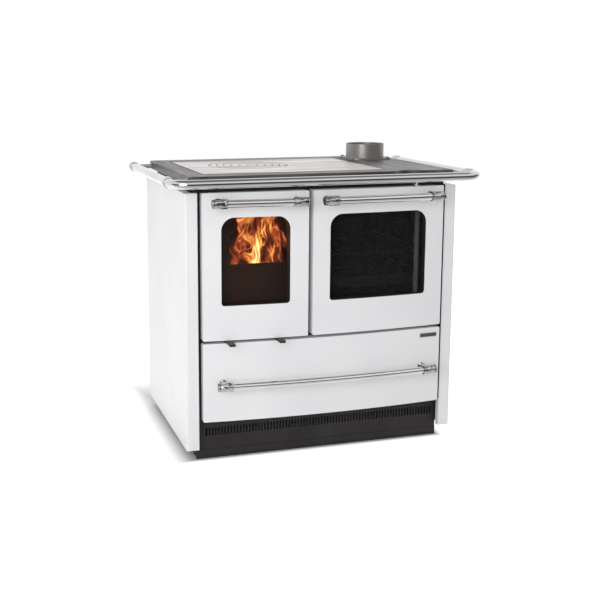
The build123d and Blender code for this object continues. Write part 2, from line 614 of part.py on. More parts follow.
def rail_ferrule():
    """Barrel ferrule along Y with flat ends."""
    half = RAIL_FERRULE_LENGTH / 2
    low = (-half, RAIL_FERRULE_END)
    high = (half, RAIL_FERRULE_END)
    outline = Polyline(high, (half, 0), (-half, 0), low)
    outline += ThreePointArc(low, (0, RAIL_FERRULE_RADIUS), high)
    return Rot(0, 0, 90) * revolve(make_face(outline), Axis.X)


def rail_bracket(side, y):
    """Ferrule with the post that carries it from the edge of the hob."""
    post = sorted((side * HOB_HALF_WIDTH, side * RAIL_X))
    foot = sorted((side * HOB_HALF_WIDTH, side * (HOB_HALF_WIDTH + RAIL_FOOT_THICK)))
    bracket = Pos(side * RAIL_X, y, RAIL_Z) * rail_ferrule()
    bracket += rod_x(post, y, RAIL_Z, RAIL_POST_RADIUS)
    bracket += rod_x(foot, y, RAIL_Z, RAIL_FOOT_RADIUS)
    return bracket


def tube(path):
    """Round tube along a path."""
    plane = Plane(origin=path @ 0, z_dir=path % 0)
    outer = sweep(plane * Circle(RAIL_RADIUS), path=path)
    return outer - sweep(plane * Circle(RAIL_RADIUS - RAIL_WALL), path=path)


def side_panel(side):
    """Enamelled side casing: a pan with a folded front return, open towards the stove."""
    outer = block((-BODY_HALF, -RETURN_EDGE), (0, PANEL_DEPTH), (PANEL_BOTTOM_Z, PANEL_TOP_Z))
    front_corner = outer.edges().filter_by(Axis.Z).sort_by(Axis.Y)[:2].sort_by(Axis.X)[:1]
    outer = fillet(front_corner, PANEL_CORNER)
    skin = -BODY_HALF + PANEL_SHEET
    z = (PANEL_BOTTOM_Z + PANEL_SHEET, PANEL_TOP_Z - PANEL_SHEET)
    lip = -RETURN_EDGE - PANEL_SHEET
    front = block((skin, lip), (PANEL_SHEET, FRAME_Y), z)
    front_inner = front.edges().filter_by(Axis.Z).sort_by(Axis.Y)[:2].sort_by(Axis.X)[:1]
    front = fillet(front_inner, PANEL_CORNER - PANEL_SHEET)
    behind_y = (FRAME_Y, PANEL_DEPTH - PANEL_SHEET)
    behind = block((skin, 0), behind_y, z)
    above = block((-BODY_HALF + PANEL_LIP, 0), behind_y, (PANEL_BOTTOM_Z, PANEL_TOP_Z))
    panel = outer - front - behind - above
    return panel if side < 0 else mirror(panel, about=Plane.YZ)


def ring_piece(outer, inner):
    """One hob ring: an upper flange that rests on its neighbour's lower ledge."""
    top = (HOB_TOP_Z - RING_STEP, HOB_TOP_Z)
    low = (PLATE_LEDGE_Z, HOB_TOP_Z - RING_STEP)
    x, y = RING_CENTRE
    piece = upright(x, y, top, outer - RING_GAP)
    piece += upright(x, y, low, outer - RING_LEDGE - RING_LEDGE_GAP)
    if inner:
        piece -= upright(x, y, top, inner + RING_GAP)
        piece -= upright(x, y, low, inner - RING_LEDGE)
    return chamfer(piece.faces().sort_by(Axis.Z)[-1].edges(), RING_EDGE)


def lever(x):
    """Air register lever: tab in front, bar through the stove front and shutter plate."""
    half = LEVER_WIDTH / 2
    low = PORT_PLATE_Z[1]
    bar_z = (low, low + LEVER_THICK)
    piece = block((x - half, x + half), (LEVER_TAB_Y[1], SHUTTER_Y[0]), bar_z)
    piece += block((x - half, x + half), LEVER_TAB_Y, (low, low + LEVER_TAB_THICK))
    piece += block((x + SHUTTER_X[0], x + SHUTTER_X[1]), SHUTTER_Y, bar_z)
    return piece


def guide(side):
    """Ladder of paired runners on one wall of the oven."""
    wall = OVEN_X[0] + WALL_FIT if side < 0 else OVEN_X[1] - WALL_FIT
    inward = 1 if side < 0 else -1
    post_x = sorted((wall, wall + inward * GUIDE_POST))
    rail_x = sorted((wall, wall + inward * GUIDE_DEPTH))
    top = max(GUIDE_LEVELS) + GUIDE_PAIR + GUIDE_RAIL
    ladder = None
    for y in GUIDE_POST_Y:
        post = block(post_x, (y, y + GUIDE_POST), (min(GUIDE_LEVELS), top))
        ladder = post if ladder is None else ladder + post
    for level in GUIDE_LEVELS:
        for z in (level, level + GUIDE_PAIR):
            ladder += block(rail_x, GUIDE_RAIL_Y, (z, z + GUIDE_RAIL))
    return ladder


FRONTMOST_Y = min(handle_front_y(span) for span in (FIRE_HANDLE, OVEN_HANDLE, DRAWER_HANDLE))
Y_MID = (min(FRONTMOST_Y, RAIL_FRONT_Y - RAIL_RADIUS) + HOB_BACK_Y) / 2

# ---------------------------------------------------------------- plinth and carcass
base_z = (0, CARCASS_FLOOR_Z)
base_y = (PLINTH_FRONT_Y, PLINTH_FRONT_Y + PLINTH_SHEET)
base_x = (-PLINTH_HALF_WIDTH, PLINTH_HALF_WIDTH)
base_front = block(base_x, base_y, base_z)
skirting_y = (PLINTH_FRONT_Y - SKIRTING_PROUD, PLINTH_FRONT_Y)
base_front += block(base_x, skirting_y, (0, SKIRTING_HEIGHT))
slot_pitch = (SLOT_X[1] - SLOT_X[0]) / (SLOT_COUNT - 1)
slot_face = Plane(origin=(0, base_y[1], 0), x_dir=(1, 0, 0), z_dir=(0, -1, 0))
slot_middle = (SLOT_Z[0] + SLOT_Z[1]) / 2
slot = SlotOverall(SLOT_Z[1] - SLOT_Z[0], SLOT_WIDTH, rotation=90)
slots = []
for index in range(SLOT_COUNT):
    place = Pos(SLOT_X[0] + slot_pitch * index, slot_middle)
    slots.append(extrude(slot_face * place * slot, amount=PLINTH_SHEET))
base_front -= slots
keep("base_front", base_front)

side_y = (FRAME_BACK_Y, CARCASS_BACK_Y)
notch_y = (FRAME_BACK_Y, base_y[1])
for name, side in (("carcass_side_left", -1), ("carcass_side_right", 1)):
    side_x = sorted((side * CARCASS_INNER, side * CARCASS_HALF))
    sheet = block(side_x, side_y, (0, HOB_BOTTOM_Z))
    keep(name, sheet - block(side_x, notch_y, base_z))

inside_x = (-CARCASS_INNER, CARCASS_INNER)
inside_y = (FRAME_BACK_Y, CARCASS_INNER_Y)
keep("carcass_back", block(inside_x, (CARCASS_INNER_Y, CARCASS_BACK_Y), (0, HOB_BOTTOM_Z)))
keep("carcass_floor", block(inside_x, inside_y, (CARCASS_FLOOR_Z, DRAWER_BOTTOM_Z)))
keep("drawer_ceiling", block(inside_x, inside_y, (CEILING_Z, CEILING_Z + FLOOR_SHEET)))

frame_y = (FRAME_Y, FRAME_BACK_Y)
front_frame = block((-FRAME_HALF, FRAME_HALF), frame_y, (CARCASS_FLOOR_Z, HOB_BOTTOM_Z))
front_frame -= block(FIRE_OPENING_X, frame_y, FIRE_OPENING_Z)
front_frame -= block(ASH_OPENING_X, frame_y, ASH_OPENING_Z)
front_frame -= block(OVEN_X, frame_y, OVEN_Z)
drawer_opening_x = (-DRAWER_OPENING_HALF, DRAWER_OPENING_HALF)
front_frame -= block(drawer_opening_x, frame_y, DRAWER_OPENING_Z)
lever_z = (PORT_PLATE_Z[1] - LEVER_SLOT_RISE, PORT_PLATE_Z[1] + LEVER_THICK + LEVER_SLOT_RISE)
for lever_x in (PRIMARY_LEVER_X, SECONDARY_LEVER_X):
    reach = LEVER_WIDTH / 2 + LEVER_SLOT_SIDE
    front_frame -= block((lever_x - reach, lever_x + reach + LEVER_TRAVEL), frame_y, lever_z)
hole_radius = DAMPER_ROD_RADIUS + DAMPER_ROD_CLEARANCE
front_frame -= rod_y(DAMPER_X, frame_y, DAMPER_Z, hole_radius)
for door, side in ((FIRE_DOOR, -1), (OVEN_DOOR, 1)):
    tongue = tongue_x(door, side)
    slot_x = (tongue[0] - TONGUE_CLEARANCE, tongue[1] + TONGUE_CLEARANCE)
    slot_z = (TONGUE_Z - TONGUE_HEIGHT, TONGUE_Z + TONGUE_HEIGHT)
    front_frame -= block(slot_x, frame_y, slot_z)
    keeper_x = (slot_x[1], slot_x[1] + KEEPER_SHEET)
    keeper_y = (FRAME_BACK_Y, FRAME_BACK_Y + KEEPER_DEPTH)
    front_frame += block(keeper_x, keeper_y, slot_z)
keep("front_frame", front_frame)

keep("side_panel_left", side_panel(-1))
keep("side_panel_right", side_panel(1))

# ---------------------------------------------------------------- firebox
shell_inner_x = (SHELL_X[0] + SHELL_SHEET, SHELL_X[1] - SHELL_SHEET)
shell_inner_y = (FRAME_BACK_Y, SHELL_BACK_Y - SHELL_SHEET)
shell_floor_z = SHELL_Z[0] + SHELL_SHEET
shell = block(SHELL_X, (FRAME_BACK_Y, SHELL_BACK_Y), SHELL_Z)
keep("firebox_shell", shell - block(shell_inner_x, shell_inner_y, (shell_floor_z, SHELL_Z[1])))

brick_z = (BED_Z[1], BRICK_TOP_Z)
fire_x = (shell_inner_x[0] + BRICK_THICK, shell_inner_x[1] - BRICK_THICK)
brick_y = (shell_inner_y[0], shell_inner_y[1] - WALL_FIT)
keep("firebrick_left", block((shell_inner_x[0] + WALL_FIT, fire_x[0]), brick_y, brick_z))
keep("firebrick_right", block((fire_x[1], shell_inner_x[1] - WALL_FIT), brick_y, brick_z))
keep("firebrick_back", block(fire_x, (brick_y[1] - BRICK_THICK, brick_y[1]), brick_z))

bed = block(shell_inner_x, shell_inner_y, BED_Z)
bed -= block(GRATE_X, GRATE_Y, (BED_Z[1] - GRATE_THICK, BED_Z[1]))
bed_hole_x = (GRATE_X[0] + GRATE_LEDGE, GRATE_X[1] - GRATE_LEDGE)
bed_hole_y = (GRATE_Y[0] + GRATE_LEDGE, GRATE_Y[1] - GRATE_LEDGE)
keep("firebox_bed", bed - block(bed_hole_x, bed_hole_y, BED_Z))

grate_x = (GRATE_X[0] + GRATE_GAP, GRATE_X[1] - GRATE_GAP)
grate_y = (GRATE_Y[0] + GRATE_GAP, GRATE_Y[1] - GRATE_GAP)
grate_z = (BED_Z[1] - GRATE_THICK, BED_Z[1])
grate = block(grate_x, grate_y, grate_z)
grate_pitch = (grate_y[1] - grate_y[0] - 2 * GRATE_RIM) / GRATE_SLOTS
for index in range(GRATE_SLOTS):
    slot_y = grate_y[0] + GRATE_RIM + grate_pitch * (index + 1 / 2)
    cut_y = (slot_y - GRATE_SLOT_WIDTH / 2, slot_y + GRATE_SLOT_WIDTH / 2)
    grate -= block((grate_x[0] + GRATE_RIM, grate_x[1] - GRATE_RIM), cut_y, grate_z)
keep("firebox_grate", grate)

keep("log_guard", block(fire_x, (GUARD_Y, GUARD_Y + GUARD_THICK), (BED_Z[1], GUARD_TOP_Z)))

duct = block(fire_x, (FRAME_BACK_Y, FRAME_BACK_Y + DUCT_DEPTH), DUCT_Z)
duct_y = (FRAME_BACK_Y + DUCT_WALL, FRAME_BACK_Y + DUCT_DEPTH - DUCT_WALL)
keep("air_wash_duct", duct - block(fire_x, duct_y, (DUCT_Z[0] + DUCT_WALL, DUCT_Z[1] - DUCT_WALL)))

pan_z = (shell_floor_z, shell_floor_z + ASH_PAN_HEIGHT)
pan = block(ASH_PAN_X, ASH_PAN_Y, pan_z)
pan_inner_x = (ASH_PAN_X[0] + ASH_PAN_WALL, ASH_PAN_X[1] - ASH_PAN_WALL)
pan_inner_y = (ASH_PAN_Y[0] + ASH_PAN_WALL, ASH_PAN_Y[1] - ASH_PAN_WALL)
pan -= block(pan_inner_x, pan_inner_y, (pan_z[0] + ASH_PAN_WALL, pan_z[1]))
grip_x = (sum(ASH_PAN_X) - ASH_PAN_GRIP[0]) / 2
grip_y = (ASH_PAN_Y[0] - ASH_PAN_GRIP[1], ASH_PAN_Y[0])
grip_z = (pan_z[1] - ASH_PAN_GRIP[2], pan_z[1])
keep("ash_pan", pan + block((grip_x, grip_x + ASH_PAN_GRIP[0]), grip_y, grip_z))

# ---------------------------------------------------------------- air registers
port_y = (FRAME_BACK_Y, PORT_PLATE_BACK_Y)
port_floor = CEILING_Z + FLOOR_SHEET
ports = block(SHELL_X, port_y, (port_floor, PORT_PLATE_Z[1]))
port_inner_y = (FRAME_BACK_Y, PORT_PLATE_BACK_Y - SHELL_SHEET)
ports -= block(shell_inner_x, port_inner_y, (port_floor, PORT_PLATE_Z[0]))
for lever_x in (PRIMARY_LEVER_X, SECONDARY_LEVER_X):
    middle = lever_x + sum(SHUTTER_X) / 2
    for index in range(PORT_COUNT):
        x = middle + PORT_PITCH * (index - (PORT_COUNT - 1) / 2)
        port_x = (x - PORT_SIZE[0] / 2, x + PORT_SIZE[0] / 2)
        port_cut_y = (PORT_Y - PORT_SIZE[1] / 2, PORT_Y + PORT_SIZE[1] / 2)
        ports -= block(port_x, port_cut_y, PORT_PLATE_Z)
keep("air_port_plate", ports)
keep("primary_air_lever", lever(PRIMARY_LEVER_X))
keep("secondary_air_lever", lever(SECONDARY_LEVER_X))

# ---------------------------------------------------------------- oven
oven_y = (FRAME_BACK_Y, OVEN_BACK_Y)
outer_x = (OVEN_X[0] - OVEN_WALL, OVEN_X[1] + OVEN_WALL)
outer_z = (OVEN_Z[0] - OVEN_WALL, OVEN_Z[1] + OVEN_WALL)
oven = block(outer_x, (oven_y[0], oven_y[1] + OVEN_WALL), outer_z)
keep("oven_box", oven - block(OVEN_X, oven_y, OVEN_Z))
keep("oven_guide_left", guide(-1))
keep("oven_guide_right", guide(1))

rack_x = (OVEN_X[0] + OVEN_SIDE_GAP + RACK_FRAME_RADIUS, OVEN_X[1] - OVEN_SIDE_GAP - RACK_FRAME_RADIUS)
rack_z = RACK_LEVEL + GUIDE_RAIL + RACK_FRAME_RADIUS
rack = rod_y(rack_x[0], RACK_Y, rack_z, RACK_FRAME_RADIUS)
rack += rod_y(rack_x[1], RACK_Y, rack_z, RACK_FRAME_RADIUS)
for y in RACK_Y:
    rack += rod_x(rack_x, y, rack_z, RACK_FRAME_RADIUS)
    for x in rack_x:
        rack += Pos(x, y, rack_z) * Sphere(RACK_FRAME_RADIUS)
for index in range(1, RACK_RODS + 1):
    x = rack_x[0] + (rack_x[1] - rack_x[0]) * index / (RACK_RODS + 1)
    rack += rod_y(x, RACK_Y, rack_z, RACK_ROD_RADIUS)
keep("oven_rack", rack)

tray_z = TRAY_LEVEL + GUIDE_RAIL
tray_lip_x = (OVEN_X[0] + OVEN_SIDE_GAP, OVEN_X[1] - OVEN_SIDE_GAP)
tray_x = (OVEN_X[0] + GUIDE_DEPTH + TRAY_SIDE_GAP, OVEN_X[1] - GUIDE_DEPTH - TRAY_SIDE_GAP)
tray_y = (TRAY_Y[0] + GUIDE_DEPTH, TRAY_Y[1] - GUIDE_DEPTH)
tray = block(tray_lip_x, TRAY_Y, (tray_z, tray_z + TRAY_SHEET))
tray += block(tray_x, tray_y, (tray_z - TRAY_DROP, tray_z))
tray_inner_x = (tray_x[0] + TRAY_SHEET, tray_x[1] - TRAY_SHEET)
tray_inner_y = (tray_y[0] + TRAY_SHEET, tray_y[1] - TRAY_SHEET)
tray_inner_z = (tray_z - TRAY_DROP + TRAY_SHEET, tray_z + TRAY_SHEET)
keep("oven_tray", tray - block(tray_inner_x, tray_inner_y, tray_inner_z))

# ---------------------------------------------------------------- flue damper
flue_x, flue_y = FLUE_CENTRE
seat = block((SEAT_X0, CARCASS_INNER), (SEAT_Y0, CARCASS_INNER_Y), SEAT_Z)
keep("damper_seat", seat - upright(flue_x, flue_y, SEAT_Z, SEAT_HOLE_RADIUS))

plate_half = DAMPER_PLATE_HALF
plate_top = SEAT_Z[1] + DAMPER_PLATE_THICK
plate_y = (flue_y - plate_half, flue_y + plate_half)
damper = block((flue_x - plate_half, flue_x + plate_half), plate_y, (SEAT_Z[1], plate_top))
lug_x = (DAMPER_X - DAMPER_LUG[0] / 2, DAMPER_X + DAMPER_LUG[0] / 2)
lug_y = (plate_y[0], plate_y[0] + DAMPER_LUG[1])
keep("damper_plate", damper + block(lug_x, lug_y, (plate_top, plate_top + DAMPER_LUG[2])))

pull = rod_y(DAMPER_X, (DAMPER_KNOB_Y[1], plate_y[0]), DAMPER_Z, DAMPER_ROD_RADIUS)
knob_length = DAMPER_KNOB_Y[1] - DAMPER_KNOB_Y[0]
knob_outline = Polyline(
    (knob_length, DAMPER_ROD_RADIUS),
    (knob_length, 0),
    (0, 0),
    (0, DAMPER_ROD_RADIUS),
)
knob_outline += ThreePointArc(
    (0, DAMPER_ROD_RADIUS),
    (knob_length / 2, DAMPER_KNOB_RADIUS),
    (knob_length, DAMPER_ROD_RADIUS),
)
knob = Rot(0, 0, 90) * revolve(make_face(knob_outline), Axis.X)
keep("damper_pull", pull + Pos(DAMPER_X, DAMPER_KNOB_Y[0], DAMPER_Z) * knob)

# ---------------------------------------------------------------- hob
hob_z = (HOB_BOTTOM_Z, HOB_TOP_Z)
hob = tablet((-HOB_HALF_WIDTH, HOB_HALF_WIDTH), (HOB_FRONT_Y, HOB_BACK_Y), hob_z, HOB_CORNER)
hob = chamfer(hob.faces().sort_by(Axis.Z)[-1].edges(), HOB_EDGE)
recess_x = (PLATE_X[0] - PLATE_GAP, PLATE_X[1] + PLATE_GAP)
recess_y = (PLATE_Y[0] - PLATE_GAP, PLATE_Y[1] + PLATE_GAP)
hob -= tablet(recess_x, recess_y, (PLATE_LEDGE_Z, HOB_TOP_Z), PLATE_CORNER + PLATE_GAP)
through_x = (PLATE_X[0] + PLATE_LEDGE, PLATE_X[1] - PLATE_LEDGE)
through_y = (PLATE_Y[0] + PLATE_LEDGE, PLATE_Y[1] - PLATE_LEDGE)
hob -= tablet(through_x, through_y, hob_z, PLATE_CORNER)
hob -= upright(flue_x, flue_y, hob_z, FLUE_HOLE_RADIUS)
blank_x = (BLANK_PLATE_RIGHT - BLANK_PLATE[0], BLANK_PLATE_RIGHT)
blank_y = (HOB_FRONT_Y + BLANK_PLATE_IN[1], HOB_FRONT_Y + BLANK_PLATE_IN[1] + BLANK_PLATE[1])
hob += block(blank_x, blank_y, (HOB_TOP_Z, HOB_TOP_Z + BLANK_PLATE[2]))
keep("hob_frame", hob)

plate = tablet(PLATE_X, PLATE_Y, (PLATE_LEDGE_Z, HOB_TOP_Z), PLATE_CORNER)
ring_x, ring_y = RING_CENTRE
plate -= upright(ring_x, ring_y, (HOB_TOP_Z - RING_STEP, HOB_TOP_Z), RING_RADII[0] + RING_GAP)
plate -= upright(ring_x, ring_y, (PLATE_LEDGE_Z, HOB_TOP_Z), RING_RADII[0] - RING_LEDGE)
keep("hob_plate", chamfer(plate.faces().sort_by(Axis.Z)[-1].edges(), RING_EDGE))

for index, name in enumerate(RING_NAMES):
    inner = RING_RADII[index + 1] if index + 1 < len(RING_RADII) else 0
    piece = ring_piece(RING_RADII[index], inner)
    if not inner:
        slot_z = (HOB_TOP_Z - DISC_SLOT[2], HOB_TOP_Z)
        slot_x = (ring_x - DISC_SLOT[0] / 2, ring_x + DISC_SLOT[0] / 2)
        piece -= block(slot_x, (ring_y - DISC_SLOT[1] / 2, ring_y + DISC_SLOT[1] / 2), slot_z)
    keep(name, piece)

# ---------------------------------------------------------------- flue collar
flange_x = (flue_x - FLANGE_SIDE / 2, flue_x + FLANGE_SIDE / 2)
flange_y = (flue_y - FLANGE_SIDE / 2, flue_y + FLANGE_SIDE / 2)
collar = tablet(flange_x, flange_y, (HOB_TOP_Z, HOB_TOP_Z + FLANGE_THICK), FLANGE_CORNER)
collar += upright(flue_x, flue_y, (HOB_TOP_Z, FLUE_RIM_Z), FLUE_RADIUS)
collar -= upright(flue_x, flue_y, (HOB_TOP_Z, FLUE_RIM_Z), FLUE_RADIUS - FLUE_WALL)
keep("flue_collar", collar)
bolt_z = (HOB_TOP_Z + FLANGE_THICK, HOB_TOP_Z + FLANGE_THICK + COLLAR_BOLT_HEIGHT)
bolts = []
for sign_x, sign_y in ((-1, -1), (1, -1), (1, 1), (-1, 1)):
    bolt_x = flue_x + sign_x * (FLANGE_SIDE / 2 - COLLAR_BOLT_INSET)
    bolt_y = flue_y + sign_y * (FLANGE_SIDE / 2 - COLLAR_BOLT_INSET)
    bolts.append(upright(bolt_x, bolt_y, bolt_z, COLLAR_BOLT_RADIUS))
keep("collar_bolts", Compound(children=bolts))

# ---------------------------------------------------------------- rail
rail_start = RAIL_FRONT_FERRULE_Y - RAIL_FERRULE_LENGTH / 2
rail_points = [
    (-RAIL_X, rail_start, RAIL_Z),
    (-RAIL_X, RAIL_FRONT_Y, RAIL_Z),
    (RAIL_X, RAIL_FRONT_Y, RAIL_Z),
    (RAIL_X, rail_start, RAIL_Z),
]
keep("front_rail", tube(FilletPolyline(*rail_points, radius=RAIL_BEND)))
side_start = RAIL_FRONT_FERRULE_Y + RAIL_FERRULE_LENGTH / 2
side_end = RAIL_BACK_FERRULE_Y - RAIL_FERRULE_LENGTH / 2
side_tubes = []
brackets = []
for side in (-1, 1):
    tube_line = Line((side * RAIL_X, side_start, RAIL_Z), (side * RAIL_X, side_end, RAIL_Z))
    side_tubes.append(tube(tube_line))
    brackets.append(rail_bracket(side, RAIL_FRONT_FERRULE_Y))
    brackets.append(rail_bracket(side, RAIL_BACK_FERRULE_Y))
keep("side_rails", Compound(children=side_tubes))
keep("rail_brackets", Compound(children=brackets))

# ---------------------------------------------------------------- doors
door_z = (DOOR_BOTTOM_Z, DOOR_TOP_Z)
doors = (
    ("fire_door", FIRE_DOOR, FIRE_WINDOW, FIRE_HANDLE, -1),
    ("oven_door", OVEN_DOOR, OVEN_WINDOW, OVEN_HANDLE, 1),
)
leaves = []
for name, door, window, handle, side in doors:
    keep(f"{name}_panel", door_panel(door, window, side))
    keep(f"{name}_frame", door_frame(door, window, side))
    keep(f"{name}_glass", door_glass(window))
    keep(f"{name}_gasket", door_gasket(door))
    keep(f"{name}_handle_bar", handle_bar(handle, HANDLE_DOOR_Z))
    ends = handle_ends(handle, HANDLE_DOOR_Z, door, door_z)
    keep(f"{name}_handle_ends", Compound(children=ends))
    leaves += hinge_leaves(door, side)
keep("door_hinges", Compound(children=leaves))

# ---------------------------------------------------------------- drawer
drawer_z = (DRAWER_BOTTOM_Z, DRAWER_TOP_Z)
keep("drawer_front", bowed_tray(DRAWER_FRONT, drawer_z))
keep("drawer_handle_bar", handle_bar(DRAWER_HANDLE, HANDLE_DRAWER_Z))
drawer_ends = handle_ends(DRAWER_HANDLE, HANDLE_DRAWER_Z, DRAWER_FRONT, drawer_z)
keep("drawer_handle_ends", Compound(children=drawer_ends))

backing_x = (DRAWER_FRONT[0] + FRONT_SHEET, DRAWER_FRONT[1] - FRONT_SHEET)
backing_y = (FRONT_BACK_Y - DRAWER_BACKING, FRONT_BACK_Y)
backing_z = (DRAWER_BOTTOM_Z + FRONT_SHEET, DRAWER_TOP_Z - FRONT_SHEET)
inner_corner = FRONT_CORNER - FRONT_SHEET
drawer_box = arched(backing_x, backing_y, backing_z, inner_corner, inner_corner)
box_x = (-DRAWER_BOX_HALF, DRAWER_BOX_HALF)
drawer_box += block(box_x, (FRONT_BACK_Y, DRAWER_BOX_BACK_Y), DRAWER_BOX_Z)
box_inner_x = (-DRAWER_BOX_HALF + DRAWER_SHEET, DRAWER_BOX_HALF - DRAWER_SHEET)
box_inner_y = (FRONT_BACK_Y, DRAWER_BOX_BACK_Y - DRAWER_SHEET)
drawer_box -= block(box_inner_x, box_inner_y, (DRAWER_BOX_Z[0] + DRAWER_SHEET, DRAWER_BOX_Z[1]))
runner_z = (SLIDE_TOP_Z, SLIDE_TOP_Z + RUNNER_HEIGHT)
slide_z = (SLIDE_TOP_Z - SLIDE_THICK, SLIDE_TOP_Z)
slides = []
for side in (-1, 1):
    runner_x = sorted((side * DRAWER_BOX_HALF, side * (DRAWER_BOX_HALF + RUNNER_THICK)))
    drawer_box += block(runner_x, RUNNER_Y, runner_z)
    slide_inner = DRAWER_BOX_HALF + RUNNER_THICK - SLIDE_LAP
    slide_x = sorted((side * slide_inner, side * CARCASS_INNER))
    slides.append(block(slide_x, (FRAME_BACK_Y, SLIDE_BACK_Y), slide_z))
keep("drawer_box", drawer_box)
keep("drawer_slides", Compound(children=slides))

badge = behind_bow(BADGE_X, BADGE_Z, FRONT_BACK_Y, -BADGE_THICK)
badge -= behind_bow(DRAWER_FRONT, drawer_z, FRONT_BACK_Y)
keep("drawer_badge", rounded(badge, BADGE_CORNER))
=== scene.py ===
import math
import random

import bmesh
import bpy
from mathutils import Matrix, Vector, noise


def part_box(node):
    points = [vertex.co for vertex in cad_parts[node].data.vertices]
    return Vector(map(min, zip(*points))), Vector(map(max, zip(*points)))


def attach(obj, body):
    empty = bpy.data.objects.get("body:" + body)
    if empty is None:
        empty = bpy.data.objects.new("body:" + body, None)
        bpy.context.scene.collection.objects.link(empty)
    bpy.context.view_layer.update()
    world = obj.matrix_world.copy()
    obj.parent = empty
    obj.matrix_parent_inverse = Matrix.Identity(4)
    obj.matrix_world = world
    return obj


# Wood cookstove: white enamel casing, cast hob, chrome rail and handles, a fire behind the left
# window. Metres, in the frame of the solids: X to the right, Y towards the back, Z up.
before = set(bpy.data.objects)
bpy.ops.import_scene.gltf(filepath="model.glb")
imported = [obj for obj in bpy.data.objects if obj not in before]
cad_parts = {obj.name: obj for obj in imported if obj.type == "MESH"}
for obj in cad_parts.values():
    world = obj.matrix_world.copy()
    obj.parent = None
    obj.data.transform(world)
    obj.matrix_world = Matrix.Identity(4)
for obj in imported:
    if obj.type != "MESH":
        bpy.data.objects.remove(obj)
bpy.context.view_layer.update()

# ---------------------------------------------------------------- view
# Angles in degrees; the focal length in pixels of the photograph, which is square.
CAMERA_PLACE = (-1.0642, -3.0514, 1.1411)
CAMERA_TURN = 16.594
CAMERA_DIP = 9.875
FOCAL_PIXELS = 1012.6
PHOTO_PIXELS = 600.0
SENSOR = 36.0
SHIFT = (0.08, -0.08)

# ---------------------------------------------------------------- light
# A lamp: place, diameter in metres, power in watts.
KEY_LIGHT = ((-2.25, -3.0, 1.3), 2.4, 66.0)
TOP_LIGHT = ((-0.4, 0.3, 3.0), 2.0, 20.0)
LIGHT_AIM = (0.0, 0.0, 0.5)
# Even light from all sides on what isn't glossy.
SKY_DIFFUSE = 0.64
# Brightness that gloss mirrors, by the Z of the direction that it looks in.
STUDIO_BANDS = ((0.0, 0.07), (0.16, 0.08), (0.28, 0.4), (0.4, 0.98), (0.74, 0.86), (0.88, 0.2))
# A bright backdrop for gloss: it fades in along the direction's Y and out along its Z.
BACKDROP_EDGE = (-0.1, 0.35)
BACKDROP_TOP = (0.45, 0.8)

# ---------------------------------------------------------------- floor
FLOOR_SIZE = 16.0
FLOOR_ROUGHNESS = 0.9
FLOOR_TONE = 0.6
# In gloss the floor darkens to the far tone over this stretch of Y, in front of the stove.
FLOOR_FAR_TONE = 0.07
FLOOR_FAR_EDGE = (-3.6, -1.0)
# Light that the floor gives off, so that it shows as white, and where it starts in reflections.
FLOOR_LIFT = 0.76
FLOOR_LIFT_EDGE = (-0.9, 0.1)
# How far the shade under the stove reaches before and past it, along X and along Y.
UNDERSIDE_FADE = {"X": (0.11, 0.03), "Y": (0.02, 0.42)}

# ---------------------------------------------------------------- surfaces
COAT_ROUGHNESS = 0.06
# Most of a noise texture's values lie in this span.
NOISE_SPAN = (0.3, 0.7)
# The hob frame's side arms begin this gap past the hob plate. The marks of the grinding turn
# over the blend, and are stretched along their direction.
PLATE_GAP = 0.001
ARM_BLEND = 0.004
ARM_STRETCH = 0.12
# Painted shade: tilt of a face towards an axis over which it darkens, and how dark it gets.
PLATE_SIDE_TILT = (0.3, 0.6)
PLATE_SIDE_PAINTED_SHADE = 0.04
CAP_TILT = (0.8, 0.95)
CAP_PAINTED_SHADE = 0.05
GLASS_IOR = 1.13
GLASS_TINT = 1.08
FIRE_GLASS_CLEAR = 0.985
OVEN_GLASS_CLEAR = 0.97
# The pale upright strip in the oven's glass, a painted highlight: the light that it lets
# through, its distance from the glass's right side, its width and its soft edge.
PAINTED_STRIP_CLEAR = 0.78
PAINTED_STRIP_INSET = 0.0205
PAINTED_STRIP_WIDTH = 0.020
PAINTED_STRIP_SOFT = 0.006
EMBER_LIGHT = 1.5
EMBER_STOPS = ((0.35, (0.04, 0.006, 0.002)), (0.5, (0.9, 0.11, 0.01)), (0.62, (1.0, 0.45, 0.08)))
FLAME_LIGHT = 3.3
FLAME_STOPS = (
    (0.0, (0.02, 0.003, 0.001)),
    (0.2, (0.12, 0.02, 0.007)),
    (0.4, (0.32, 0.074, 0.02)),
    (0.6, (0.56, 0.22, 0.052)),
    (0.8, (0.78, 0.49, 0.12)),
    (1.0, (0.96, 0.82, 0.4)),
)
# What filaments add to the heat, and the heat over which a flame turns from clear to solid.
FLAME_FILAMENTS = (-0.06, 0.05)
FLAME_COVER = (0.08, 0.5)

# ---------------------------------------------------------------- logs and embers
LOG_RADIUS = 0.038
LOG_RINGS = 26
LOG_SIDES = 28
# A log thins by this share of its radius past this share of its half length.
LOG_TAPER = 0.25
LOG_TAPER_START = 0.9
# Depth of the bark, and the scale of its noise along a log and round it.
BARK_DEPTH = 0.006
BARK_SCALE = (6, 4)
# How a log lies: its start and its end, each as a distance in from its end of the log guard, a
# distance behind the guard and a height over the lowest logs, then its radius and its seed.
LOG_STACK = 1.75 * LOG_RADIUS
LOGS = (
    ((0.015, 0.05, 0.0), (0.015, 0.06, 0.0), LOG_RADIUS, 1.0),
    ((0.015, 0.14, 0.0), (0.015, 0.15, 0.0), LOG_RADIUS, 5.0),
    ((0.025, 0.10, LOG_STACK), (0.015, 0.08, LOG_STACK + 0.03), 0.03, 9.0),
)
EMBER_SEED = 12
EMBER_COUNT = 60
EMBER_SIZE = (0.008, 0.02)
EMBER_SPILL = 0.03
# Height of an ember over the grate, in shares of its size.
EMBER_RISE = (0.5, 1.4)
# The plain and the rough share of an ember's radius, and the scale of the noise.
EMBER_LUMPS = (0.75, 0.5, 60)

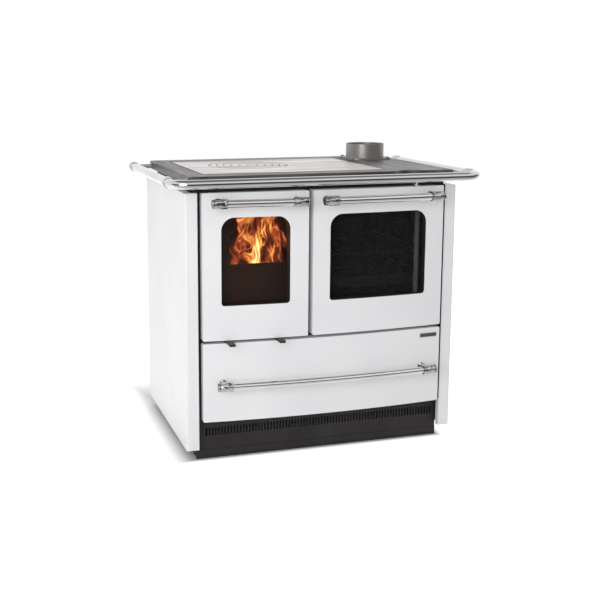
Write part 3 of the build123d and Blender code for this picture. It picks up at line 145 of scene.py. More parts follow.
# ---------------------------------------------------------------- flames
FLAME_LAYER = "blaze"
FLAME_ROWS = 96
FLAME_COLUMNS = 120
# A sheet of flame: distance behind the log guard, seed, share of the full heat.
FLAME_SHEETS = ((0.030, 3.0, 0.7), (0.062, 61.0, 0.95), (0.095, 83.0, 0.85))
# How high the fire stands at shares of its width, from the left.
FLAME_PROFILE = (
    (0.0, 0.1), (0.06, 0.34), (0.16, 0.42), (0.25, 0.74),
    (0.34, 1.2), (0.72, 1.25), (0.85, 0.8), (1.0, 0.3),
)
# Insets from the sides of the window, and how a sheet shifts and sinks with its depth.
FLAME_START = 0.036
FLAME_END = -0.006
FLAME_DRIFT = 0.3
FLAME_SINK = 0.25
FLAME_HEADROOM = 0.004
# Faces cooler than this are left out.
FLAME_FAINT = 0.02
# How far a sheet bulges forward and back.
FLAME_WAVE = 0.006
# Noise: its scale across and up, and what is added to the sheet's seed.
DRIFT = (2.2, 1.6, 0.0)
CURL = (6.0, 4.2, 2.0)
CURL_SHIFT = (9.0, -3.0)
RAGGED = (9.0, 1.4, 4.0)
STRAND = (15.0, 3.2, 7.0)
RIBBON = (8.0, 2.3, 11.0)
GAPS = (5.0, 2.0, 20.0)
WAVE = (5.0, 3.0, 30.0)
# How far drift, which grows with height, and curl push a flame sideways.
SWAY = (0.2, 0.3)
CURL_PUSH = 0.06
# How uneven the top is, and how softly a sheet ends at its left, its right and its top.
RAGGED_HEIGHT = 0.30
SIDE_SOFT = (0.06, 0.1)
TOP_SOFT = 0.18
# How drift bends the strands and curl the ribbons; how thin and how crisp each one is.
STRAND_BEND = 1.2
STRAND_SHAPE = (4.4, 1.4)
RIBBON_BEND = 0.8
RIBBON_SHAPE = (3.6, 1.3)
# Level of the veils, and how strongly gaps break them.
VEIL = (0.56, 2.2)
# Middle and spread of the hottest part, as shares of the width.
CORE = (0.5, 0.15)
# Heat of the sheet and of its core: plain, along a ribbon, along a strand.
SHEET_HEAT = (0.2, 0.34, 0.36)
CORE_HEAT = (0.24, 0.5, 0.3)
# Heat at the foot, and what is lost on the way to the top.
COOLING = (1.2, 0.4)

# ---------------------------------------------------------------- small fittings
# Bevel of a thin slab, as a share of its thickness.
EDGE_SHARE = 0.2
SCREW_RADIUS = 0.0042
SCREW_HEIGHT = 0.0022
SCREW_SIDES = 24
# A screw head from its seat to the bottom of its recess, in shares of its radius and height.
SCREW_PROFILE = ((1.0, 0.0), (1.0, 0.45), (0.86, 0.8), (0.55, 1.0), (0.3, 1.0), (0.22, 0.55))
# Inside this share of the radius the outline is a cross, with its least and its added reach.
SCREW_RECESS = 0.3
SCREW_CROSS = (0.55, 0.75)
BACK_SCREW_PITCH = 0.19
BACK_SCREW_INSET = 0.014
# Rims of the blank plates, and how near an end of the drawer's plate a point counts as its end.
BADGE_RIM = 0.0013
BADGE_PROUD = 0.0006
BADGE_END = 0.004
# The hob's blank plate: its size, and its place in from the front right corner.
BLANK_PLATE = (0.066, 0.013)
BLANK_PLATE_IN = (0.110, 0.007)
BLANK_PLATE_PROUD = 0.0008
# Width of the strip of painted shade in the seam round the hob plate, and how far it stands over the
# plate.
PAINTED_SEAM = (0.0046, 0.0002)
# Thickness of the black strips of painted shade in the gaps beside the doors, and their inset from
# front and back.
GAP_SHADE_STRIP = (0.0004, 0.001)
# A clip of a door's glass: its size, its lap over the glass, its inset from the glass's side.
CLIP_SIZE = (0.020, 0.0015, 0.014)
CLIP_LAP = 0.006
CLIP_INSET = 0.03
CLIP_BEVEL = 0.0004


# ---------------------------------------------------------------- shader helpers
def surface(name, colour, roughness, metallic=0.0, coat=0.0, specular=0.5):
    """A new material with one principled shader."""
    material = bpy.data.materials.new(name)
    material.use_nodes = True
    shader = material.node_tree.nodes["Principled BSDF"]
    shader.inputs["Base Color"].default_value = (*colour, 1.0)
    shader.inputs["Roughness"].default_value = roughness
    shader.inputs["Metallic"].default_value = metallic
    shader.inputs["Coat Weight"].default_value = coat
    shader.inputs["Coat Roughness"].default_value = COAT_ROUGHNESS
    shader.inputs["Specular IOR Level"].default_value = specular
    return material


def feed(tree, value, socket):
    """Link a socket to another one, or set it where the value is a plain number."""
    if isinstance(value, float):
        socket.default_value = value
    else:
        tree.links.new(value, socket)


def combine(tree, operation, first, second=0.0):
    """The result of one sum over sockets or numbers."""
    made = tree.nodes.new("ShaderNodeMath")
    made.operation = operation
    feed(tree, first, made.inputs[0])
    feed(tree, second, made.inputs[1])
    return made.outputs["Value"]


def blend(tree, factor, first, second):
    """A value that goes from the first to the second as the factor rises to one."""
    made = tree.nodes.new("ShaderNodeMix")
    feed(tree, factor, made.inputs["Factor"])
    feed(tree, first, made.inputs["A"])
    feed(tree, second, made.inputs["B"])
    return made.outputs["Result"]


def span_to_span(tree, value, start, end, low, high, interpolation="LINEAR"):
    """A socket that runs from low to high as a value goes from start to end."""
    made = tree.nodes.new("ShaderNodeMapRange")
    made.interpolation_type = interpolation
    made.inputs["From Min"].default_value = start
    made.inputs["From Max"].default_value = end
    made.inputs["To Min"].default_value = low
    made.inputs["To Max"].default_value = high
    tree.links.new(value, made.inputs["Value"])
    return made.outputs["Result"]


def smooth_step(tree, value, start, end, low, high):
    """A socket that runs in the same way, but eases in and out."""
    return span_to_span(tree, value, start, end, low, high, "SMOOTHSTEP")


def ramp(tree, factor, stops):
    """Colour that runs through stops, each a position and a colour."""
    made = tree.nodes.new("ShaderNodeValToRGB")
    elements = made.color_ramp.elements
    while len(elements) < len(stops):
        elements.new(0.5)
    for element, (position, colour) in zip(elements, stops):
        element.position = position
        element.color = (*colour, 1.0)
    tree.links.new(factor, made.inputs["Fac"])
    return made.outputs["Color"]


def axes(tree, coordinates="Object"):
    """The X, Y and Z of texture coordinates."""
    place = tree.nodes.new("ShaderNodeTexCoord")
    parts = tree.nodes.new("ShaderNodeSeparateXYZ")
    tree.links.new(place.outputs[coordinates], parts.inputs["Vector"])
    return parts.outputs


def pattern(material, kind, scale):
    """A texture node of a kind, laid out in metres."""
    tree = material.node_tree
    place = tree.nodes.new("ShaderNodeTexCoord")
    texture = tree.nodes.new(kind)
    texture.inputs["Scale"].default_value = scale
    tree.links.new(place.outputs["Object"], texture.inputs["Vector"])
    return texture


def grain(material, scale, stretch=(1.0, 1.0, 1.0), detail=4.0, roughness=0.5):
    """Noise in metres, stretched along an axis where asked."""
    tree = material.node_tree
    place = tree.nodes.new("ShaderNodeTexCoord")
    mapping = tree.nodes.new("ShaderNodeMapping")
    mapping.inputs["Scale"].default_value = stretch
    texture = tree.nodes.new("ShaderNodeTexNoise")
    texture.inputs["Scale"].default_value = scale
    texture.inputs["Detail"].default_value = detail
    texture.inputs["Roughness"].default_value = roughness
    tree.links.new(place.outputs["Object"], mapping.inputs["Vector"])
    tree.links.new(mapping.outputs["Vector"], texture.inputs["Vector"])
    return texture.outputs["Fac"]


def shade(material, factor, dark, light, low=0.35, high=0.65):
    """Base colour that runs from dark to light with a factor."""
    tree = material.node_tree
    colour = ramp(tree, factor, ((low, dark), (high, light)))
    tree.links.new(colour, tree.nodes["Principled BSDF"].inputs["Base Color"])


def sheen_range(material, factor, low, high):
    """Roughness that runs between two values with a factor."""
    tree = material.node_tree
    roughness = span_to_span(tree, factor, *NOISE_SPAN, low, high)
    tree.links.new(roughness, tree.nodes["Principled BSDF"].inputs["Roughness"])


def relief(material, factor, strength, distance):
    """Bump from a factor, added to any bump that the material already has."""
    tree = material.node_tree
    bump = tree.nodes.new("ShaderNodeBump")
    bump.inputs["Strength"].default_value = strength
    bump.inputs["Distance"].default_value = distance
    tree.links.new(factor, bump.inputs["Height"])
    normal = tree.nodes["Principled BSDF"].inputs["Normal"]
    if normal.is_linked:
        tree.links.new(normal.links[0].from_socket, bump.inputs["Normal"])
    tree.links.new(bump.outputs["Normal"], normal)


def darken(material, axis, tilt, tone):
    """Scale the base colour by a tone on the faces square to an axis, both ways: painted shade."""
    tree = material.node_tree
    size = combine(tree, "ABSOLUTE", axes(tree, "Normal")[axis])
    scaled = tree.nodes.new("ShaderNodeVectorMath")
    scaled.operation = "SCALE"
    colour = tree.nodes["Principled BSDF"].inputs["Base Color"]
    tree.links.new(colour.links[0].from_socket, scaled.inputs["Vector"])
    tree.links.new(smooth_step(tree, size, *tilt, 1.0, tone), scaled.inputs["Scale"])
    tree.links.new(scaled.outputs["Vector"], colour)


# ---------------------------------------------------------------- enamel, paint and the seam's painted shade
def white_enamel():
    """Fired vitreous enamel: bright, glossy, with a faint orange peel."""
    material = surface("white_enamel", (0.84, 0.84, 0.86), roughness=0.22, coat=0.1)
    shade(material, grain(material, 3.0, detail=2.0), (0.80, 0.805, 0.82), (0.86, 0.86, 0.87))
    sheen_range(material, grain(material, 8.0, detail=1.0), 0.2, 0.25)
    relief(material, grain(material, 30.0, detail=0.0), strength=0.004, distance=0.0002)
    return material


def black_paint():
    """Matt heat-resistant paint on sheet."""
    material = surface("black_paint", (0.03, 0.028, 0.029), roughness=0.5, specular=0.3)
    shade(material, grain(material, 9.0), (0.019, 0.016, 0.0175), (0.028, 0.0245, 0.0255))
    sheen_range(material, grain(material, 40.0), 0.42, 0.58)
    relief(material, grain(material, 900.0, detail=2.0), strength=0.15, distance=0.0003)
    return material


def flue_paint():
    """Grey metallic heat-resistant paint."""
    material = surface("flue_paint", (0.28, 0.268, 0.262), roughness=0.44, metallic=0.6)
    shade(material, grain(material, 12.0), (0.27, 0.257, 0.25), (0.33, 0.316, 0.308))
    sheen_range(material, grain(material, 60.0), 0.36, 0.44)
    relief(material, grain(material, 700.0, detail=2.0), strength=0.12, distance=0.0003)
    return material


def oven_enamel():
    """Dark oven enamel with fine paler specks."""
    material = surface("oven_enamel", (0.02, 0.02, 0.021), roughness=0.25, coat=0.2)
    specks = grain(material, 900.0, detail=1.0)
    shade(material, specks, (0.011, 0.01, 0.011), (0.034, 0.034, 0.036), low=0.66, high=0.8)
    sheen_range(material, grain(material, 20.0), 0.2, 0.34)
    relief(material, grain(material, 240.0, detail=2.0), strength=0.06, distance=0.0004)
    return material


def painted_seam_shade():
    """Dull black that stands for the shade in the hob plate's seam: painted shade."""
    material = surface("painted_seam_shade", (0.025, 0.022, 0.021), roughness=0.95, specular=0.0)
    shade(material, grain(material, 60.0), (0.018, 0.016, 0.015), (0.034, 0.03, 0.029))
    return material


# ---------------------------------------------------------------- bright metals
def chrome(name, dark, light, ripple=0.0):
    """Polished chrome plate with faint wipe marks and, where asked, a soft ripple."""
    material = surface(name, light, roughness=0.06, metallic=1.0)
    shade(material, grain(material, 6.0), dark, light)
    sheen_range(material, grain(material, 60.0, stretch=(1.0, 1.0, 3.0)), 0.03, 0.10)
    relief(material, grain(material, 120.0, detail=1.0), strength=0.015, distance=0.0003)
    if ripple:
        relief(material, grain(material, 60.0, detail=1.0), strength=1.0, distance=ripple)
    return material


def bar_chrome():
    """Bright chrome of the handle bars."""
    return chrome("chrome", (0.80, 0.79, 0.785), (0.88, 0.87, 0.865))


def rail_chrome():
    """Duller chrome of the rail."""
    return chrome("rail_chrome", (0.65, 0.638, 0.632), (0.73, 0.718, 0.712))


def bracket_chrome():
    """Slightly rippled chrome of the rail's brackets."""
    return chrome("bracket_chrome", (0.52, 0.51, 0.505), (0.7, 0.69, 0.685), ripple=0.002)


def ferrule_chrome():
    """Rippled chrome of the handles' ferrules, darker than the bars' chrome and dark on their end
    faces: painted shade and reflection.
    """
    material = chrome("ferrule_chrome", (0.46, 0.45, 0.445), (0.64, 0.63, 0.625), ripple=0.006)
    # Painted dark reflection on the ferrules' end faces.
    darken(material, "X", CAP_TILT, CAP_PAINTED_SHADE)
    return material


def wire_steel():
    """Dark plated wire of the oven rack and its guides."""
    material = surface("wire_steel", (0.1, 0.096, 0.092), roughness=0.32, metallic=1.0)
    shade(material, grain(material, 30.0), (0.07, 0.066, 0.063), (0.13, 0.124, 0.12))
    sheen_range(material, grain(material, 80.0), 0.26, 0.4)
    return material


def zinc_sheet():
    """Galvanised sheet with soft spangle."""
    material = surface("zinc_sheet", (0.5, 0.51, 0.52), roughness=0.42, metallic=0.8)
    cells = pattern(material, "ShaderNodeTexVoronoi", 70.0)
    tone = material.node_tree.nodes.new("ShaderNodeRGBToBW")
    material.node_tree.links.new(cells.outputs["Color"], tone.inputs["Color"])
    shade(material, tone.outputs["Val"], (0.44, 0.45, 0.46), (0.57, 0.58, 0.59), low=0.1, high=0.9)
    sheen_range(material, grain(material, 30.0), 0.36, 0.5)
    relief(material, grain(material, 200.0), strength=0.08, distance=0.0003)
    return material


def badge_metal():
    """Dark anodised plate, left blank."""
    material = surface("badge_metal", (0.12, 0.115, 0.118), roughness=0.35, metallic=0.8)
    brushed = (0.1, 1.0, 1.0)
    tone = grain(material, 40.0, stretch=brushed)
    shade(material, tone, (0.09, 0.085, 0.088), (0.16, 0.155, 0.157))
    sheen_range(material, grain(material, 60.0, stretch=brushed), 0.28, 0.42)
    relief(material, grain(material, 900.0, stretch=(0.05, 1.0, 1.0)), strength=0.1, distance=0.0002)
    return material


def badge_edge():
    """Bright raised rim round a blank plate."""
    material = surface("badge_edge", (0.62, 0.6, 0.6), roughness=0.25, metallic=1.0)
    shade(material, grain(material, 60.0), (0.55, 0.54, 0.54), (0.68, 0.67, 0.67))
    sheen_range(material, grain(material, 90.0), 0.2, 0.3)
    return material


# ---------------------------------------------------------------- iron, brick, rope and wood
def ground_iron():
    """Ground cast iron of the hob frame, its marks along the front and back and down the sides."""
    material = surface("ground_iron", (0.13, 0.122, 0.12), roughness=0.42, metallic=0.75)
    tree = material.node_tree
    low, high = (corner[0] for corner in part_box("hob_plate"))
    middle = (low + high) / 2
    reach = (high - low) / 2 + PLATE_GAP
    away = combine(tree, "ABSOLUTE", combine(tree, "SUBTRACT", axes(tree)["X"], middle))
    arms = smooth_step(tree, away, reach, reach + ARM_BLEND, 0.0, 1.0)

    def marks(scale):
        """Grinding marks of one scale."""
        along = grain(material, scale, stretch=(ARM_STRETCH, 1.0, 1.0))
        down = grain(material, scale, stretch=(1.0, ARM_STRETCH, 1.0))
        return blend(tree, arms, along, down)

    shade(material, marks(26.0), (0.072, 0.067, 0.065), (0.178, 0.168, 0.164))
    sheen_range(material, marks(30.0), 0.34, 0.5)
    relief(material, marks(620.0), strength=0.25, distance=0.0003)
    return material


def polished_plate():
    """Lighter polished hob plate, brushed along its length, with painted shade on the side faces of
    the plate and its rings.
    """
    material = surface("polished_plate", (0.5, 0.48, 0.47), roughness=0.36, metallic=0.85)
    brushed = grain(material, 21.0, stretch=(0.14, 1.0, 1.0), detail=5.0)
    shade(material, brushed, (0.5, 0.475, 0.46), (0.84, 0.81, 0.795))
    # Painted shade on faces that turn to the sides, for the gaps round the plate and its rings.
    darken(material, "X", PLATE_SIDE_TILT, PLATE_SIDE_PAINTED_SHADE)
    darken(material, "Y", PLATE_SIDE_TILT, PLATE_SIDE_PAINTED_SHADE)
    sheen_range(material, grain(material, 30.0, stretch=(0.2, 1.0, 1.0)), 0.3, 0.44)
    relief(material, grain(material, 620.0, stretch=(0.03, 1.0, 1.0)), strength=0.22, distance=0.0003)
    return material


def casting(name, dark, light):
    """Dull cast iron in or behind the fire."""
    material = surface(name, light, roughness=0.7)
    shade(material, grain(material, 18.0), dark, light)
    sheen_range(material, grain(material, 30.0), 0.62, 0.8)
    relief(material, grain(material, 500.0), strength=0.4, distance=0.0006)
    return material


def raw_casting():
    """Dull black casting of the bed, the grate and the damper."""
    return casting("raw_casting", (0.021, 0.016, 0.014), (0.033, 0.025, 0.022))


def baked_casting():
    """Casting of the log guard, baked red-brown by the fire."""
    return casting("baked_casting", (0.026, 0.0092, 0.0052), (0.038, 0.0140, 0.0080))


def fire_brick():
    """Sooted refractory brick."""
    material = surface("fire_brick", (0.16, 0.12, 0.1), roughness=0.9)
    shade(material, grain(material, 22.0, detail=6.0), (0.06, 0.04, 0.032), (0.22, 0.16, 0.125))
    sheen_range(material, grain(material, 30.0), 0.85, 0.95)
    relief(material, grain(material, 160.0, detail=6.0), strength=0.6, distance=0.0015)
    return material


def rope_seal():
    """Braided glass-fibre rope, darkened with graphite."""
    material = surface("rope_seal", (0.1, 0.1, 0.1), roughness=0.95)
    weave = pattern(material, "ShaderNodeTexWave", 160.0)
    weave.wave_type = "BANDS"
    weave.bands_direction = "DIAGONAL"
    weave.inputs["Distortion"].default_value = 1.5
    shade(material, weave.outputs["Fac"], (0.05, 0.05, 0.05), (0.17, 0.17, 0.165), low=0.2, high=0.8)
    sheen_range(material, grain(material, 200.0), 0.9, 1.0)
    relief(material, weave.outputs["Fac"], strength=0.8, distance=0.0012)
    return material


def bark():
    """Charred bark."""
    material = surface("bark", (0.05, 0.03, 0.02), roughness=0.9)
    ridges = grain(material, 60.0, stretch=(0.2, 1.0, 1.0), detail=6.0)
    shade(material, ridges, (0.012, 0.008, 0.006), (0.12, 0.065, 0.035))
    sheen_range(material, grain(material, 30.0), 0.82, 0.98)
    relief(material, ridges, strength=0.8, distance=0.003)
    return material


# ---------------------------------------------------------------- glass
def window_glass(name, colour, clear):
    """Smoky ceramic glass with a thin film on it; clear is the share of light let through."""
    material = surface(name, colour, roughness=0.02)
    shader = material.node_tree.nodes["Principled BSDF"]
    shader.inputs["Transmission Weight"].default_value = clear
    shader.inputs["IOR"].default_value = GLASS_IOR
    light = tuple(GLASS_TINT * part for part in colour)
    shade(material, grain(material, 4.0), colour, light)
    sheen_range(material, grain(material, 8.0), 0.0, 0.03)
    return material


def fire_glass():
    """Glass of the fire door, warmed by smoke."""
    return window_glass("fire_glass", (0.5, 0.4, 0.35), FIRE_GLASS_CLEAR)


def oven_glass():
    """Darker glass of the oven door, with one upright strip that lets less light through: a painted
    highlight.
    """
    material = window_glass("oven_glass", (0.27, 0.258, 0.266), OVEN_GLASS_CLEAR)
    tree = material.node_tree
    across = axes(tree)["X"]
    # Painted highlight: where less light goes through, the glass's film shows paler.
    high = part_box("oven_door_glass")[1][0] - PAINTED_STRIP_INSET
    low = high - PAINTED_STRIP_WIDTH
    left = smooth_step(tree, across, low, low + PAINTED_STRIP_SOFT, OVEN_GLASS_CLEAR, PAINTED_STRIP_CLEAR)
    right = smooth_step(tree, across, high - PAINTED_STRIP_SOFT, high, PAINTED_STRIP_CLEAR, OVEN_GLASS_CLEAR)
    clear = combine(tree, "MAXIMUM", left, right)
    tree.links.new(clear, tree.nodes["Principled BSDF"].inputs["Transmission Weight"])
    return material


# ---------------------------------------------------------------- fire light
def shining(name):
    """A new material without a shader, and an emission node for it."""
    material = bpy.data.materials.new(name)
    material.use_nodes = True
    nodes = material.node_tree.nodes
    nodes.remove(nodes["Principled BSDF"])
    return material, nodes.new("ShaderNodeEmission")


def ember_glow():
    """Charcoal that glows in patches."""
    material, emission = shining("ember_glow")
    tree = material.node_tree
    emission.inputs["Strength"].default_value = EMBER_LIGHT
    tree.links.new(ramp(tree, grain(material, 90.0), EMBER_STOPS), emission.inputs["Color"])
    tree.links.new(emission.outputs["Emission"], tree.nodes["Material Output"].inputs["Surface"])
    return material


def flame_glow():
    """Flame: heat painted on the mesh, broken up by rising filaments, clear at the edges."""
    material, emission = shining("flame_glow")
    tree = material.node_tree
    heat = tree.nodes.new("ShaderNodeAttribute")
    heat.attribute_name = FLAME_LAYER
    filaments = grain(material, 60.0, stretch=(1.0, 1.0, 0.28), detail=5.0, roughness=0.6)
    spread = span_to_span(tree, filaments, *NOISE_SPAN, *FLAME_FILAMENTS)
    total = combine(tree, "ADD", heat.outputs["Fac"], spread)
    emission.inputs["Strength"].default_value = FLAME_LIGHT
    tree.links.new(ramp(tree, total, FLAME_STOPS), emission.inputs["Color"])
    clear = tree.nodes.new("ShaderNodeBsdfTransparent")
    mix = tree.nodes.new("ShaderNodeMixShader")
    tree.links.new(span_to_span(tree, total, *FLAME_COVER, 0.0, 1.0), mix.inputs["Fac"])
    tree.links.new(clear.outputs["BSDF"], mix.inputs[1])
    tree.links.new(emission.outputs["Emission"], mix.inputs[2])
    tree.links.new(mix.outputs["Shader"], tree.nodes["Material Output"].inputs["Surface"])
    return material


# ---------------------------------------------------------------- finishes
MATERIALS = {
    "enamel": white_enamel(),
    "paint": black_paint(),
    # Painted shade for the hob plate's seam.
    "painted_seam_shade": painted_seam_shade(),
    "chrome": bar_chrome(),
    "rail": rail_chrome(),
    "ferrule": ferrule_chrome(),
    "bracket": bracket_chrome(),
    "iron": ground_iron(),
    "plate": polished_plate(),
    "flue": flue_paint(),
    "zinc": zinc_sheet(),
    "casting": raw_casting(),
    "guard": baked_casting(),
    "brick": fire_brick(),
    "oven": oven_enamel(),
    "seal": rope_seal(),
    "wire": wire_steel(),
    "badge": badge_metal(),
    "rim": badge_edge(),
    "fire_glass": fire_glass(),
    "oven_glass": oven_glass(),
    "bark": bark(),
    "flame": flame_glow(),
    "ember": ember_glow(),
}

# The nodes that take each material.
FINISHES = {
    "enamel": "side_panel_left side_panel_right fire_door_panel oven_door_panel drawer_front",
    "paint": (
        "base_front carcass_side_left carcass_side_right front_frame door_hinges firebox_shell"
        " air_wash_duct primary_air_lever secondary_air_lever fire_door_frame oven_door_frame"
    ),
    "chrome": "fire_door_handle_bar oven_door_handle_bar drawer_handle_bar damper_pull",
    "rail": "front_rail side_rails",
    "bracket": "rail_brackets",
    "ferrule": "fire_door_handle_ends oven_door_handle_ends drawer_handle_ends",
    "wire": "oven_rack oven_guide_left oven_guide_right",
    "iron": "hob_frame",
    "plate": "hob_plate hob_ring_outer hob_ring_large hob_ring_medium hob_ring_small hob_disc",
    "flue": "flue_collar collar_bolts",
    "zinc": (
        "carcass_back carcass_floor drawer_ceiling ash_pan air_port_plate drawer_box"
        " drawer_slides"
    ),
    "casting": "firebox_bed firebox_grate damper_seat damper_plate",
    "guard": "log_guard",
    "brick": "firebrick_left firebrick_right firebrick_back",
    "oven": "oven_box oven_tray",
    "seal": "fire_door_gasket oven_door_gasket",
    "badge": "drawer_badge",
    "fire_glass": "fire_door_glass",
    "oven_glass": "oven_door_glass",
}
for finish, names in FINISHES.items():
    for name in names.split():
        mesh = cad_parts[name].data
        mesh.materials.clear()
        mesh.materials.append(MATERIALS[finish])


# ---------------------------------------------------------------- piece helpers
def piece(name, shape, material, body, smooth=True):
    """A finished mesh object that rides on a body."""
    mesh = bpy.data.meshes.new(name)
    bmesh.ops.recalc_face_normals(shape, faces=shape.faces)
    shape.to_mesh(mesh)
    shape.free()
    mesh.materials.append(MATERIALS[material])
    for polygon in mesh.polygons:
        polygon.use_smooth = smooth
    made = bpy.data.objects.new(name, mesh)
    bpy.context.scene.collection.objects.link(made)
    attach(made, body)


def loft(shape, rings):
    """Faces between rings of points, each end closed."""
    verts = [[shape.verts.new(point) for point in ring] for ring in rings]
    for low, high in zip(verts, verts[1:]):
        for index in range(len(low)):
            after = (index + 1) % len(low)
            shape.faces.new((low[index], low[after], high[after], high[index]))
    shape.faces.new(verts[0])
    shape.faces.new(verts[-1])


def slab(shape, low, high, edge):
    """A box with bevelled edges between two corners."""
    size = Vector(high) - Vector(low)
    middle = (Vector(high) + Vector(low)) / 2
    matrix = Matrix.Translation(middle) @ Matrix.Diagonal((*size, 1.0))
    made = bmesh.ops.create_cube(shape, size=1.0, matrix=matrix)
    edges = {edge_of for vertex in made["verts"] for edge_of in vertex.link_edges}
    bmesh.ops.bevel(shape, geom=list(edges), offset=edge, segments=2, affect="EDGES")


def screw(shape, place, outward):
    """A pan head with a cross recess, seated at a point and facing outward."""
    turn = Vector((0.0, 0.0, 1.0)).rotation_difference(Vector(outward)).to_matrix().to_4x4()
    matrix = Matrix.Translation(place) @ turn
    shallow, deep = SCREW_CROSS
    rings = []
    for radius, height in SCREW_PROFILE:
        ring = []
        for index in range(SCREW_SIDES):
            angle = 2 * math.pi * index / SCREW_SIDES
            reach = radius * SCREW_RADIUS
            if radius <= SCREW_RECESS:
                reach *= shallow + deep * math.cos(2 * angle) ** 2
            point = Vector((reach * math.cos(angle), reach * math.sin(angle), height * SCREW_HEIGHT))
            ring.append(matrix @ point)
        rings.append(ring)
    loft(shape, rings)


# ---------------------------------------------------------------- logs and embers
def log_piece(name, start, end, radius, seed):
    """A split log with ridged bark, closed at both ends."""
    shape = bmesh.new()
    along = (end - start).normalized()
    side = along.orthogonal().normalized()
    up = along.cross(side)
    length, girth = BARK_SCALE
    rings = []
    for row in range(LOG_RINGS + 1):
        share = row / LOG_RINGS
        centre = start.lerp(end, share)
        past_start = max(0.0, abs(share - 0.5) * 2 - LOG_TAPER_START)
        taper = 1.0 - LOG_TAPER * past_start / (1.0 - LOG_TAPER_START)
        ring = []
        for index in range(LOG_SIDES):
            angle = 2 * math.pi * index / LOG_SIDES
            away = side * math.cos(angle) + up * math.sin(angle)
            spot = (share * length + seed, math.cos(angle) * girth, math.sin(angle) * girth)
            ring.append(centre + away * (radius * taper + BARK_DEPTH * noise.noise(Vector(spot))))
        rings.append(ring)
    loft(shape, rings)
    piece(name, shape, "bark", "stove")


def logs():
    """Logs on the firebox bed, behind the log guard."""
    guard_low, guard_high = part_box("log_guard")
    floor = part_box("firebox_bed")[1][2] + LOG_RADIUS
    for number, (start, end, radius, seed) in enumerate(LOGS, 1):
        left = Vector((guard_low[0] + start[0], guard_high[1] + start[1], floor + start[2]))
        right = Vector((guard_high[0] - end[0], guard_high[1] + end[1], floor + end[2]))
        log_piece(f"log_{number}", left, right, radius, seed)


def embers():
    """Glowing lumps of charcoal over the grate."""
    spread = random.Random(EMBER_SEED)
    low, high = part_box("firebox_grate")
    plain, rough, scale = EMBER_LUMPS
    shape = bmesh.new()
    for _ in range(EMBER_COUNT):
        size = spread.uniform(*EMBER_SIZE)
        x = spread.uniform(low[0] - EMBER_SPILL, high[0] + EMBER_SPILL)
        y = spread.uniform(low[1], high[1])
        place = Vector((x, y, high[2] + size * spread.uniform(*EMBER_RISE)))
        matrix = Matrix.Translation(place)
        made = bmesh.ops.create_icosphere(shape, subdivisions=1, radius=size, matrix=matrix)
        for vertex in made["verts"]:
            offset = vertex.co - place
            vertex.co = place + offset * (plain + rough * noise.noise(vertex.co * scale))
            vertex.co[2] = max(vertex.co[2], high[2])
    piece("embers", shape, "ember", "stove", smooth=False)


# ---------------------------------------------------------------- flames
def clamp(value):
    """A value kept between nought and one."""
    return min(1.0, max(0.0, value))


def flame_reach(across):
    """How high the fire stands at a share of its width, read along the profile."""
    for (x0, y0), (x1, y1) in zip(FLAME_PROFILE, FLAME_PROFILE[1:]):
        if across <= x1:
            return y0 + (y1 - y0) * max(0.0, across - x0) / (x1 - x0)
    return FLAME_PROFILE[-1][1]


def waver(across, rise, seed, scales, shift=(0.0, 0.0)):
    """Smooth noise over a sheet of flame."""
    wide, tall, offset = scales
    return noise.noise(Vector((across * wide + shift[0], rise * tall + shift[1], seed + offset)))


def ridge(value, sharp, power):
    """How near a noise is to zero, which it crosses along bright lines."""
    return max(0.0, 1.0 - sharp * abs(value)) ** power


def weigh(weights, ribbon, strand):
    """Heat with what a ribbon and a strand add."""
    return weights[0] + weights[1] * ribbon + weights[2] * strand


def flame_heat(across, rise, seed):
    """Heat of a sheet of flame: veils with bright strands, hottest in the middle."""
    drift = waver(across, rise, seed, DRIFT)
    curl = waver(across, rise, seed, CURL, CURL_SHIFT)
    place = across + SWAY[0] * drift * (SWAY[1] + rise) + CURL_PUSH * curl
    ragged = RAGGED_HEIGHT * waver(place, rise, seed, RAGGED)
    sides = clamp(min(place / SIDE_SOFT[0], (1.0 - place) / SIDE_SOFT[1]))
    body = sides * clamp((flame_reach(place) + ragged - rise) / TOP_SOFT)
    strand = ridge(waver(place, rise, seed, STRAND, (STRAND_BEND * drift, 0.0)), *STRAND_SHAPE)
    ribbon = ridge(waver(place, rise, seed, RIBBON, (RIBBON_BEND * curl, 0.0)), *RIBBON_SHAPE)
    veil = clamp(VEIL[0] + VEIL[1] * waver(place, rise, seed, GAPS))
    core = math.exp(-(((place - CORE[0]) / CORE[1]) ** 2))
    sheet = weigh(SHEET_HEAT, ribbon, strand) + core * weigh(CORE_HEAT, ribbon, strand)
    return body * veil * sheet * (COOLING[0] - COOLING[1] * rise)


def flame_sheet(shape, heat, x_ends, y, z_ends, seed, share):
    """One upright sheet of flame, its heat worked out point by point and open where it is cold."""
    rows = []
    for row in range(FLAME_ROWS + 1):
        rise = row / FLAME_ROWS
        z = z_ends[0] + (z_ends[1] - z_ends[0]) * rise
        line = []
        for column in range(FLAME_COLUMNS + 1):
            across = column / FLAME_COLUMNS
            x = x_ends[0] + (x_ends[1] - x_ends[0]) * across
            vertex = shape.verts.new((x, y + FLAME_WAVE * waver(across, rise, seed, WAVE), z))
            vertex[heat] = share * flame_heat(across, rise, seed)
            line.append(vertex)
        rows.append(line)
    for low, high in zip(rows, rows[1:]):
        for column in range(FLAME_COLUMNS):
            corners = (low[column], low[column + 1], high[column + 1], high[column])
            if max(vertex[heat] for vertex in corners) > FLAME_FAINT:
                shape.faces.new(corners)


